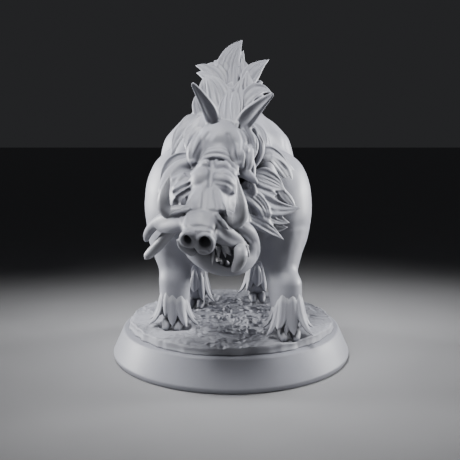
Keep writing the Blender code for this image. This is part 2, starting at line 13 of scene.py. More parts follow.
import bpy
import numpy as np
import openvdb as vdb
from mathutils import Euler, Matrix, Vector

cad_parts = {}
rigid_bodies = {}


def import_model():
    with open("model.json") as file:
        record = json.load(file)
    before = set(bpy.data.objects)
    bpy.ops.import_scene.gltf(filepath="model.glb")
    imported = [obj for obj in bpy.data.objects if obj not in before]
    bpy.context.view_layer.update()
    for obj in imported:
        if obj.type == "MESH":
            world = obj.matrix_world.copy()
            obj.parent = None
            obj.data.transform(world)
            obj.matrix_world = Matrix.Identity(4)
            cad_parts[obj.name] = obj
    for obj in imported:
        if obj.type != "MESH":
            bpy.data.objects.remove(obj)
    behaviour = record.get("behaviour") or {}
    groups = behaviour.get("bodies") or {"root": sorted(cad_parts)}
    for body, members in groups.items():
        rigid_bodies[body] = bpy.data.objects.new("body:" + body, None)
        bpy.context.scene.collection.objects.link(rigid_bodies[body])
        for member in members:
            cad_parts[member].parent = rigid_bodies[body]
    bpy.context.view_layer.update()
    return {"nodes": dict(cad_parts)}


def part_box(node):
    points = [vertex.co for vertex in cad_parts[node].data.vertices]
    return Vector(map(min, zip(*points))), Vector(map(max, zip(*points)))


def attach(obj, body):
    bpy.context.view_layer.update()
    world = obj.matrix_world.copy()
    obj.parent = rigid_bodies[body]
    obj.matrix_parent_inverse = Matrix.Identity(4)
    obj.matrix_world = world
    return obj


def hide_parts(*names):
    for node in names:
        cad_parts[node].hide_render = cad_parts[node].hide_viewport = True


for old in list(bpy.data.objects):
    bpy.data.objects.remove(old, do_unlink=True)

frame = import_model()

MM = 0.001


# %% [markdown]
# ## Places
#
# Every place below is in millimetres in the frame of the solids: -Y is where the boar faces, +X its left.
# The face has its own frame, because the head is pitched, turned and rolled: T runs to the boar's left, Q
# back from the snout disc and H out of the brow.  It is found from three solids, the eyes and the snout,
# so the whole face follows them if they move.

# %% Boxes of the solids and the head's own frame
def box_mm(node):
    """Lowest and highest corner of a solid, in millimetres."""
    return [np.array(corner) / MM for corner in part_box(node)]


def middle_of(node):
    low, high = box_mm(node)
    return (low + high) / 2


EYE_BACK, EYE_RISE = 15.9, 2.5  # the eyes lie this far behind and above the middle of the snout disc
SNOUT_BACK = 0.62  # and the snout's box has its middle this far behind it

eye_left, eye_right, snout_middle = (middle_of(n) for n in ("eye_left", "eye_right", "snout"))
side = eye_left - eye_right
side /= np.linalg.norm(side)
to_eyes = (eye_left + eye_right) / 2 - snout_middle
to_eyes -= side * (to_eyes @ side)
to_eyes /= np.linalg.norm(to_eyes)
lean = math.atan2(EYE_RISE, EYE_BACK - SNOUT_BACK)
across = np.cross(side, to_eyes)
back = to_eyes * math.cos(lean) - across * math.sin(lean)
rise = np.cross(side, back)
HEAD_TURN = np.stack([side, back, rise], axis=1)
HEAD_AT = (eye_left + eye_right) / 2 - HEAD_TURN @ np.array([0.15, EYE_BACK, EYE_RISE])


def on_head(point):
    """A place in the head's frame (t, q, h), in millimetres, taken to the frame of the solids."""
    return HEAD_AT + HEAD_TURN @ np.array(point, float)


BASE_RADIUS = float(box_mm("base_rim")[1][0])
BASE_HEIGHT = float(box_mm("base_rim")[1][2])
print("head at", HEAD_AT.round(2), "axes", HEAD_TURN.round(3).tolist())
print("base radius", round(BASE_RADIUS, 2), "height", round(BASE_HEIGHT, 2))


# %% [markdown]
# ## Clay
#
# Soft flesh with folds is hard to make from control cages, and a stack of overlapping balls would show its
# seams.  A distance field is the digital sculptor's clay: a grid of numbers, each the distance to the
# surface, below nought inside.  Two forms melt together when the smaller distance is taken with a soft
# corner, a cut is the same thing turned inside out, and a brush stroke raises or lowers the surface along a
# line.  At the end the grid is skinned once, so there is no seam anywhere.

# %% Curves and turns
def curve(points, steps=6):
    """Points along a smooth (Catmull-Rom) line through the given ones; columns such as radii follow."""
    knots = np.array(points, float)
    if len(knots) < 3:
        steps = steps * 2
    padded = np.vstack([2 * knots[0] - knots[1], knots, 2 * knots[-1] - knots[-2]])
    out = []
    for a, b, c, d in zip(padded, padded[1:], padded[2:], padded[3:]):
        square, cube = 2 * a - 5 * b + 4 * c - d, 3 * b - a - 3 * c + d
        for t in np.arange(steps) / steps:
            out.append(0.5 * (2 * b + (c - a) * t + square * t**2 + cube * t**3))
    out.append(knots[-1])
    return np.array(out)


def turned(tilt):
    """Turn by degrees about X, Y and Z."""
    return np.array(Euler([math.radians(a) for a in tilt]).to_matrix())


def head_row(points):
    """Rows (t, q, h, ...) of the head's frame taken to the solids' frame, extra columns kept."""
    return [(*on_head(p[:3]), *p[3:]) for p in points]


# %% The block of clay and its brushes
REACH = 1.6  # the distances are true this far from the surface


class Clay:
    """A grid of distances in millimetres, below nought in the resin."""

    def __init__(self, low, high, step):
        self.low, self.step = np.array(low, float), step
        self.shape = tuple(int(math.ceil((b - a) / step)) + 1 for a, b in zip(low, high))
        self.field = np.full(self.shape, REACH, np.float32)

    def window(self, low, high):
        """The part of the grid that a box covers, and the places of its points."""
        cut = []
        axes = []
        for i in range(3):
            first = max(0, int((low[i] - self.low[i]) / self.step))
            last = min(self.shape[i], int((high[i] - self.low[i]) / self.step) + 2)
            cut.append(slice(first, max(first, last)))
            axes.append((self.low[i] + self.step * np.arange(first, max(first, last))).astype(np.float32))
        return tuple(cut), np.meshgrid(*axes, indexing="ij", sparse=True)

    def melt(self, cut, part, soft):
        """Melt distances into a part of the grid, with a fillet about as wide as soft."""
        here = self.field[cut]
        near = np.maximum(soft - np.abs(here - part), 0.0) / soft
        self.field[cut] = np.minimum(here, part) - near * near * (soft / 4)

    def add(self, form, soft):
        """Melt a form into the clay."""
        low, high, distance = form
        cut, (x, y, z) = self.window(low - soft - REACH, high + soft + REACH)
        self.melt(cut, distance(x, y, z), soft)

    def carve(self, form, soft):
        """Cut a form out of the clay, with the rim rounded by soft."""
        low, high, distance = form
        cut, (x, y, z) = self.window(low - soft, high + soft)
        here, there = self.field[cut], -distance(x, y, z)
        near = np.maximum(soft - np.abs(here - there), 0.0) / soft
        self.field[cut] = np.maximum(here, there) + near * near * (soft / 4)

    def stroke(self, points, height, width):
        """Raise (or with a height below nought, sink) the surface along a line, as a soft brush does."""
        line = curve(points)
        reach = 2.4 * width
        cut, (x, y, z) = self.window(line[:, :3].min(0) - reach, line[:, :3].max(0) + reach)
        away = distance_to_line(line[:, :3], x, y, z)
        self.field[cut] -= (height * np.exp(-((away / width) ** 2))).astype(np.float32)


def distance_to_line(line, x, y, z, radii=None, flat=None, face=None):
    """Distance from grid points to a line of short pieces, less a radius that changes along it.

    With flat and face the section is an oval, flat times as thick in the face direction as it is wide.
    """
    best = None
    radii = np.zeros(len(line)) if radii is None else radii
    for a, b, ra, rb in zip(line, line[1:], radii, radii[1:]):
        along = b - a
        size = max(float(along @ along), 1e-9)
        t = np.clip(((x - a[0]) * along[0] + (y - a[1]) * along[1] + (z - a[2]) * along[2]) / size, 0, 1)
        dx, dy, dz = x - a[0] - t * along[0], y - a[1] - t * along[1], z - a[2] - t * along[2]
        away = dx * dx + dy * dy + dz * dz
        if flat is not None:
            out = face - along * (face @ along) / size
            out = out / max(np.linalg.norm(out), 1e-6)
            depth = dx * out[0] + dy * out[1] + dz * out[2]
            away = away + depth * depth * (1 / flat**2 - 1)
        away = np.sqrt(away) - (ra + (rb - ra) * t)
        best = away if best is None else np.minimum(best, away)
    return best


def ball(centre, radii, tilt, head=False):
    """A ball stretched to three radii and tilted."""
    turn = turned(tilt)
    if head:
        centre, turn = on_head(centre), HEAD_TURN @ turn
    centre, radii = np.array(centre, float), np.array(radii, float)
    extent = np.sqrt(((turn * radii) ** 2).sum(1))

    def distance(x, y, z):
        dx, dy, dz = x - centre[0], y - centre[1], z - centre[2]
        near = far = 0.0
        for i in range(3):
            along = dx * turn[0, i] + dy * turn[1, i] + dz * turn[2, i]
            near = near + (along / radii[i]) ** 2
            far = far + (along / radii[i] ** 2) ** 2
        near = np.sqrt(near)
        return near * (near - 1) / np.maximum(np.sqrt(far), 1e-6)

    return centre - extent, centre + extent, distance


def tube(points, flat=None, face=(0, 0, 1), head=False):
    """A smooth limb through rows (x, y, z, radius); flat and face make its section an oval."""
    rows = curve(head_row(points) if head else points)
    line, radii = rows[:, :3], rows[:, 3]
    face = HEAD_TURN @ np.array(face, float) if head else np.array(face, float)
    edge = radii.max()

    def distance(x, y, z):
        away = distance_to_line(line, x, y, z, radii, flat, face)
        return away if flat is None else away * (0.5 + 0.5 * flat)

    return line.min(0) - edge, line.max(0) + edge, distance


def softened(field, step, width):
    """Blur a field by about a width in millimetres: three passes of a running mean along each axis."""
    half = max(1, int(round(width / step)))
    for _ in range(3):
        for axis in range(3):
            ends = [(0, 0)] * 3
            ends[axis] = (half + 1, half)
            total = np.cumsum(np.pad(field, ends, mode="edge"), axis=axis, dtype=np.float64)
            upper = [slice(None)] * 3
            lower = [slice(None)] * 3
            upper[axis] = slice(2 * half + 1, None)
            lower[axis] = slice(0, field.shape[axis])
            field = ((total[tuple(upper)] - total[tuple(lower)]) / (2 * half + 1)).astype(np.float32)
    return field


def mesh_field(clay, points, faces, reach, margin):
    """Distances to a closed mesh, true within reach, with the part of the grid that they cover."""
    local = (points - clay.low).astype(np.float32)
    grid = vdb.FloatGrid.createLevelSetFromPolygons(
        local,
        triangles=faces.astype(np.uint32),
        transform=vdb.createLinearTransform(voxelSize=clay.step),
        halfWidth=reach / clay.step,
    )
    first = np.maximum(np.floor((local.min(0) - margin) / clay.step).astype(int), 0)
    last = np.minimum(np.ceil((local.max(0) + margin) / clay.step).astype(int), clay.shape)
    part = np.empty(last - first, np.float32)
    grid.copyToArray(part, ijk=tuple(int(i) for i in first))
    return tuple(slice(a, b) for a, b in zip(first, last)), part


def solid_field(clay, nodes, width, grow):
    """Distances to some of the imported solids, with their facets and the gaps between them blurred out."""
    points, faces, count = [], [], 0
    for name in nodes:
        mesh = frame["nodes"][name].data
        mesh.calc_loop_triangles()
        places = np.empty(len(mesh.vertices) * 3, np.float32)
        mesh.vertices.foreach_get("co", places)
        corners = np.empty(len(mesh.loop_triangles) * 3, np.int32)
        mesh.loop_triangles.foreach_get("vertices", corners)
        points.append(places.reshape(-1, 3) / MM)
        faces.append(corners.reshape(-1, 3) + count)
        count += len(mesh.vertices)
    cut, part = mesh_field(clay, np.concatenate(points), np.concatenate(faces), REACH, REACH)
    return cut, softened(part, clay.step, width) - grow


# %% [markdown]
# ## Body
#
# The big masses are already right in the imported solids: only their facets and the thin cuts between the
# nodes have to go.  So the clay starts as those solids, blurred until the facets are gone, and gets the
# muscles that a heavy boar shows: shoulder, haunch and rump, ribs and the fold of the flank.

# %% Start the clay from the solids of the flesh
FLESH = ["trunk", "neck", "tail", "head", "snout", "lower_jaw"]
LEGS = ["leg_front_left", "leg_front_right", "leg_hind_left", "leg_hind_right"]
STEP = 0.17

flesh_low = np.min([box_mm(n)[0] for n in FLESH + LEGS], axis=0) - (2.0, 1.5, 2.0)
flesh_high = np.max([box_mm(n)[1] for n in FLESH + LEGS], axis=0) + (2.0, 1.5, 4.0)
clay = Clay(flesh_low, flesh_high, STEP)
clay.melt(*solid_field(clay, ["trunk", "neck", "tail"], 0.62, 0.12), 0.6)
clay.melt(*solid_field(clay, LEGS, 0.42, 0.06), 1.4)
print("clay grid", clay.shape, "of", STEP, "mm")

# %% Muscles of the trunk
SPINE_X = float(middle_of("trunk")[0])


def on_side(x_side, rows, forward=0.0):
    """Places on one side of the trunk, from rows (out from the spine, y, z)."""
    middle = SPINE_X if x_side < 0 else SPINE_X + 0.2
    return [(middle + x_side * out, forward + y, z) for out, y, z in rows]


for x_side, shoulder_y in ((-1, 0.0), (1, -2.0)):
    shoulder = on_side(x_side, [(11.2, -4.0, 31.6)], shoulder_y)[0]
    clay.add(ball(shoulder, (4.7, 6.4, 9.4), (6, x_side * 5, 0)), 2.0)
    behind_shoulder = [(12.6, 0.5, 43.5), (15.0, 3.4, 38.5), (16.2, 4.6, 32.0), (14.6, 4.4, 25.0)]
    clay.stroke(on_side(x_side, behind_shoulder, shoulder_y), -0.55, 1.3)
    blade_ridge = [(8.0, 1.0, 48.5), (11.6, -0.6, 43.5), (13.8, -2.4, 37.0)]
    clay.stroke(on_side(x_side, blade_ridge, shoulder_y), 0.4, 1.5)
    rib = [(11.4, 0, 46.0), (15.2, 1.0, 38.0), (14.6, 1.4, 29.0)]
    for number in range(4):
        clay.stroke(on_side(x_side, rib, 6.2 + 2.7 * number), -0.16, 0.8)
    flank = [(11.0, 14.5, 40.0), (13.2, 15.0, 33.5), (11.8, 13.2, 25.0), (9.0, 11.0, 20.5)]
    clay.stroke(on_side(x_side, flank), -0.75, 1.4)
    haunch = [(6.5, 19.5, 46.0), (10.6, 19.8, 38.5), (11.6, 19.0, 31.0), (9.4, 18.2, 24.0)]
    clay.stroke(on_side(x_side, haunch), 0.55, 2.2)
    rump = [(2.2, 24.0, 40.0), (3.4, 24.6, 32.0), (2.6, 23.0, 25.0)]
    clay.stroke(on_side(x_side, rump), -0.5, 1.3)
print("trunk muscled on both sides of x =", round(SPINE_X, 2))

# %% Tail
tail_low, tail_high = box_mm("tail")
tuft = middle_of("tail_tuft")
tail_rows = [
    (tail_high[0] - 1.9, tail_low[1] - 0.4, tail_high[2] - 2.2, 1.7),
    (tail_high[0] - 1.9, tail_high[1] - 2.0, tail_high[2] - 4.4, 1.35),
    (tail_high[0] - 2.5, tail_high[1] - 1.5, tail_high[2] - 8.4, 1.05),
    (*(tuft + (-0.1, 0.1, 3.4)), 1.0),
    (*(tuft + (0, 0, 1.6)), 0.95),
]
clay.add(tube(tail_rows), 0.8)
print("tail ends at", tuft.round(1))


# %% Flesh under the locks, and cuffs over the hooves
BEDS = {
    "mane_front": [(-1.6, -4.9, -7.2, 2.4), (-1.4, 1.1, -3.2, 2.9), (-1.1, 4.6, -2.0, 3.0)],
    "mane_middle": [(-1.4, -5.2, -7.2, 3.2), (-1.2, 1.8, -5.6, 3.0)],
    "mane_rear": [
        (-0.2, -8.3, 0.2, 2.6), (-0.2, -3.8, -1.6, 2.4), (-0.2, 0.7, -5.2, 2.1),
        (-0.2, 4.2, -8.6, 1.7),
    ],
    "ruff_left": [
        (-3.6, 3.5, 8.7, 2.0), (-2.4, 0.7, 3.7, 2.5), (-2.4, -0.9, -0.8, 2.4), (-2.8, -1.4, -4.3, 2.0),
    ],
    "ruff_right": [
        (2.5, 3.3, 7.3, 1.9), (0.7, 1.1, 2.6, 2.3), (0.5, -0.5, -1.9, 2.3), (1.3, -0.9, -4.9, 2.0),
    ],
    "tail_tuft": [(0.0, 0.0, 2.6, 1.2), (-0.1, 0.0, 1.2, 1.1)],
}
for name, rows in BEDS.items():
    middle = middle_of(name)
    clay.add(tube([(*(middle + row[:3]), row[3]) for row in rows]), 1.6)


def leg_middle(hoof):
    """Middle of the leg over a hoof: a little behind the hoof's own middle, at the top of the cuff."""
    x, y, _ = middle_of(hoof) + (0, 0.8, 0)
    return np.array([x, y, box_mm(hoof.replace("hoof", "fetlock"))[1][2]])


HOOVES = ["hoof_front_left", "hoof_front_right", "hoof_hind_left", "hoof_hind_right"]
for hoof in HOOVES:
    x, y, top = leg_middle(hoof)
    size = 1.0 if "front" in hoof else 0.88
    cuff = [(1.5, 2.35), (-1.5, 2.4), (-4.4, 2.2)]
    clay.add(tube([(x, y, top + z, radius * size) for z, radius in cuff]), 2.0)
print("flesh under", len(BEDS), "nodes of hair and", len(HOOVES), "cuffs")


# %% [markdown]
# ## Face
#
# The face is what a collector looks at first: a low brow bunched into folds between two sunk eyes, a
# knuckle of gristle split down the middle, a hard bridge plate, a short muzzle with a round snout, and heavy
# lips drawn back over the tusks.  Each is a form of its own, melted on from large to small.

# %% One more form: a rounded block that narrows towards its back
def slab(centre, half, tilt, narrow, edge):
    """A rounded block in the head's frame, of half sizes; narrow is its taper for each mm of Q."""
    turn = HEAD_TURN @ turned(tilt)
    centre, half = on_head(centre), np.array(half, float)
    reach = np.abs(turn) @ (half * (1 + abs(narrow) * half[1]))

    def distance(x, y, z):
        dx, dy, dz = x - centre[0], y - centre[1], z - centre[2]
        across, along, up = (dx * turn[0, i] + dy * turn[1, i] + dz * turn[2, i] for i in range(3))
        across = across / np.clip(1 - narrow * along, 0.4, 1.6)
        gaps = [np.abs(c) - h + edge for c, h in zip((across, along, up), half)]
        outside = np.sqrt(sum(np.maximum(g, 0) ** 2 for g in gaps))
        inside = np.minimum(np.maximum(np.maximum(gaps[0], gaps[1]), gaps[2]), 0)
        return outside + inside - edge

    return centre - reach, centre + reach, distance


# %% Large masses of the head
def on_face(points, soft):
    """A limb along rows (t, q, h, radius) of the head's frame, with the width of its fillet."""
    return tube(points, head=True), soft


def bump(centre, radii, soft, tilt=(0, 0, 0)):
    """A stretched ball in the head's frame, with the width of its fillet."""
    return ball(centre, radii, tilt, head=True), soft


def build_up(forms):
    for form, soft in forms:
        clay.add(form, soft)


def cut_back(forms):
    for form, soft in forms:
        clay.carve(form, soft)


SKULL = [
    bump((-0.4, 19.0, -1.4), (4.6, 7.8, 5.4), 1.5),
    on_face([(0.0, 15.5, -0.6, 4.2), (0.0, 9.0, -0.2, 3.5), (0.0, 3.5, -0.2, 2.6)], 1.0),
    bump((0.4, 22.0, 1.4), (5.1, 5.6, 4.0), 1.0),
    bump((0.6, 22.8, 2.9), (5.0, 4.7, 3.8), 0.7),
    bump((0.5, 20.0, 2.6), (2.6, 3.2, 2.7), 0.9),
    # brow rolls, the right one with a knob and a fold outside it
    on_face([
        (-2.6, 23.4, 3.4, 1.0), (-3.6, 21.0, 3.7, 1.25), (-4.0, 18.8, 3.3, 1.5),
        (-3.8, 17.3, 2.5, 1.25),
    ], 0.35),
    on_face([
        (2.6, 22.6, 3.4, 1.0), (3.3, 20.8, 3.9, 1.35), (3.8, 18.9, 3.6, 1.65), (4.0, 17.8, 3.0, 1.4),
    ], 0.5),
    on_face([
        (4.6, 22.6, 3.2, 0.6), (5.3, 20.6, 3.5, 0.85), (5.7, 18.6, 2.9, 0.9), (5.6, 17.3, 1.9, 0.6),
    ], 0.3),
    # cheeks
    bump((-4.6, 12.6, -1.6), (2.6, 4.8, 3.2), 0.8),
    bump((3.1, 13.0, -2.0), (2.2, 4.6, 2.9), 0.8),
    on_face([
        (-5.0, 18.4, 0.6, 1.2), (-6.7, 17.6, 0.0, 1.3), (-7.8, 15.4, -0.6, 1.4),
        (-8.0, 12.6, -1.6, 1.5),
    ], 0.5),
    bump((-5.9, 14.2, -1.4), (2.6, 4.2, 2.4), 0.6),
    on_face([
        (3.9, 17.0, 1.5, 0.7), (5.4, 17.0, 1.2, 0.95), (6.6, 16.5, 0.9, 0.75), (7.6, 15.9, 0.4, 0.3),
    ], 0.4),
    bump((4.9, 19.8, 4.4), (0.6, 0.9, 0.6), 0.3),
    # strands of the cheek that hang from behind the ear
    on_face([
        (4.6, 24.0, 5.6, 0.5), (5.9, 22.8, 4.3, 0.75), (6.2, 21.4, 3.0, 0.7), (5.8, 19.6, 1.8, 0.3),
    ], 0.25),
    on_face([
        (5.7, 24.8, 5.0, 0.5), (7.1, 23.6, 3.1, 0.75), (7.2, 22.2, 1.6, 0.75), (6.6, 20.4, 0.2, 0.35),
    ], 0.25),
    on_face([
        (5.6, 21.0, 2.0, 0.6), (6.2, 19.4, 0.6, 0.8), (6.4, 17.8, -0.8, 0.7), (6.2, 16.4, -1.8, 0.3),
    ], 0.3),
    # the gristle knuckle
    bump((-1.75, 12.9, 2.2), (1.9, 2.5, 2.1), 0.4),
    bump((2.0, 12.6, 2.3), (2.35, 2.6, 2.3), 0.4),
    bump((3.5, 13.2, 1.7), (1.2, 2.2, 1.6), 0.3),
    bump((-1.4, 15.3, 2.9), (1.25, 1.15, 1.35), 0.25),
    bump((0.1, 16.0, 3.1), (0.9, 0.75, 1.0), 0.2),
    bump((1.5, 15.3, 3.2), (1.55, 1.2, 1.35), 0.25),
    bump((3.0, 14.7, 2.6), (1.1, 1.1, 1.2), 0.25),
    # bridge plate and muzzle
    (slab((0.1, 7.6, 1.65), (3.0, 2.5, 1.2), (6, -11, 0), 0.12, 0.5), 0.3),
    (slab((-0.1, 3.3, -0.15), (2.8, 2.6, 2.2), (4, -9, 0), -0.03, 1.1), 0.5),
]
JAW = [
    bump((2.7, 6.5, -6.6), (7.0, 5.8, 4.0), 0.3, (0, 18, 0)),
    on_face([(-1.6, 9.0, -5.4, 3.0), (-3.6, 15.0, -5.0, 2.4)], 0.8),
    on_face([(4.2, 9.5, -7.0, 3.0), (4.6, 15.5, -5.6, 2.6)], 0.8),
    bump((7.5, 6.6, -5.8), (1.9, 1.9, 2.2), 0.6),
]
MOUTH = [
    on_face([
        (2.3, 2.6, -3.0, 0.7), (3.8, 2.4, -4.2, 1.25), (5.4, 2.9, -4.9, 1.2), (7.0, 3.8, -5.4, 0.8),
    ], 0.2),
    on_face([(3.6, 1.6, -4.9, 0.7), (4.8, 1.9, -5.7, 0.75), (5.6, 2.2, -5.9, 0.5)], 0.2),
    on_face([(-3.6, 3.8, -2.8, 0.9), (-6.4, 5.0, -4.6, 0.9), (-8.6, 6.4, -7.0, 0.5)], 0.4),
]
build_up(SKULL + JAW)
cut_back(MOUTH)
print(len(SKULL + JAW), "masses of skull and jaw,", len(MOUTH), "cuts for the mouth")

# %% Lips and spurs
LIPS = [
    # the boar's left lip: inner roll, outer flap that hangs over the jaw, folds between them
    on_face([
        (2.4, 3.9, 0.9, 0.9), (4.0, 4.2, -0.7, 1.15), (5.6, 4.8, -2.6, 1.15), (7.0, 5.4, -4.4, 0.85),
        (7.9, 5.8, -5.6, 0.5),
    ], 0.3),
    on_face([
        (2.8, 5.6, 0.4, 1.2), (5.2, 6.0, -0.9, 1.4), (7.2, 6.6, -2.4, 1.3), (8.5, 7.0, -4.9, 1.0),
        (9.1, 6.8, -7.2, 0.75), (9.0, 6.1, -8.5, 0.5),
    ], 0.35),
    on_face([
        (4.8, 4.9, -0.6, 0.55), (6.6, 5.3, -2.2, 0.55), (7.9, 5.8, -4.4, 0.45), (8.5, 5.9, -6.4, 0.25),
    ], 0.15),
    # the rim of the lip beside the snout
    on_face([
        (2.5, 2.9, -0.4, 1.0), (3.5, 3.2, -1.5, 1.05), (4.9, 3.5, -2.7, 0.95), (6.6, 4.2, -3.8, 0.7),
    ], 0.5),
    # its right lip
    on_face([
        (-2.6, 5.0, 0.5, 1.1), (-5.0, 5.7, -0.8, 1.3), (-7.0, 6.5, -2.3, 1.2), (-9.0, 7.3, -4.9, 0.95),
        (-10.3, 7.7, -7.6, 0.75), (-10.6, 7.6, -9.0, 0.5),
    ], 0.35),
    on_face([
        (-2.5, 3.7, 0.3, 0.9), (-4.0, 4.2, -0.8, 1.1), (-5.8, 5.0, -2.3, 1.15),
        (-7.4, 6.0, -3.7, 0.85),
    ], 0.8),
    # spurs at the roots of the upper tusks
    on_face([
        (-2.4, 5.3, 1.9, 0.5), (-3.7, 5.0, 1.5, 0.5), (-4.9, 5.0, 0.9, 0.32), (-5.7, 5.0, 0.3, 0.12),
    ], 0.15),
    on_face([
        (2.2, 4.6, 2.2, 0.5), (3.2, 3.9, 1.7, 0.5), (4.0, 3.4, 1.2, 0.34), (4.5, 3.2, 0.8, 0.12),
    ], 0.15),
]
build_up(LIPS)
print(len(LIPS), "rolls of lip and spurs")

# %% Snout
SNOUT = [
    bump((-1.55, 0.5, 0.15), (1.55, 0.95, 1.85), 0.2),
    bump((1.05, 0.5, -0.5), (1.75, 1.0, 2.4), 0.2, (0, 8, 0)),
    on_face([(-3.3, 0.6, -0.6, 0.25), (-2.6, 1.0, -2.2, 0.75), (-1.3, 1.6, -3.6, 1.0)], 0.5),
]
NOSTRILS = [
    bump((-1.65, -0.7, 0.25), (1.25, 0.75, 1.3), 0.3),
    bump((1.2, -0.75, 0.1), (1.45, 0.8, 1.6), 0.3),
    bump((1.0, -0.5, -1.9), (1.0, 0.6, 0.7), 0.3),
    bump((-1.65, 0.2, 0.5), (0.6, 2.2, 0.95), 0.2, (0, -12, 0)),
    bump((1.15, 0.2, 0.4), (0.95, 2.4, 1.15), 0.2),
]
build_up(SNOUT)
cut_back(NOSTRILS)
print("snout disc at", on_head((0, 0, 0)).round(1))

# %% Bunched skin between the eyes
ROLLS = [
    [
        (-2.7, 17.5, 3.4, 0.3), (-1.7, 18.3, 4.3, 0.42), (0.1, 18.6, 4.85, 0.45),
        (1.8, 18.3, 4.8, 0.42), (3.0, 17.6, 4.0, 0.3),
    ],
    [
        (-2.9, 16.7, 3.0, 0.3), (-1.8, 17.4, 4.1, 0.42), (0.1, 17.8, 4.65, 0.46),
        (1.9, 17.5, 4.6, 0.44), (3.3, 16.7, 3.8, 0.36), (4.1, 15.9, 2.9, 0.25),
    ],
    [
        (-3.0, 15.9, 2.6, 0.28), (-1.9, 16.6, 3.7, 0.38), (0.0, 17.0, 4.2, 0.42),
        (2.0, 16.7, 4.2, 0.42), (3.4, 15.9, 3.4, 0.34), (4.3, 15.1, 2.4, 0.25),
    ],
]
build_up([on_face(roll, 0.34) for roll in ROLLS])
print(len(ROLLS), "rolls of brow skin")


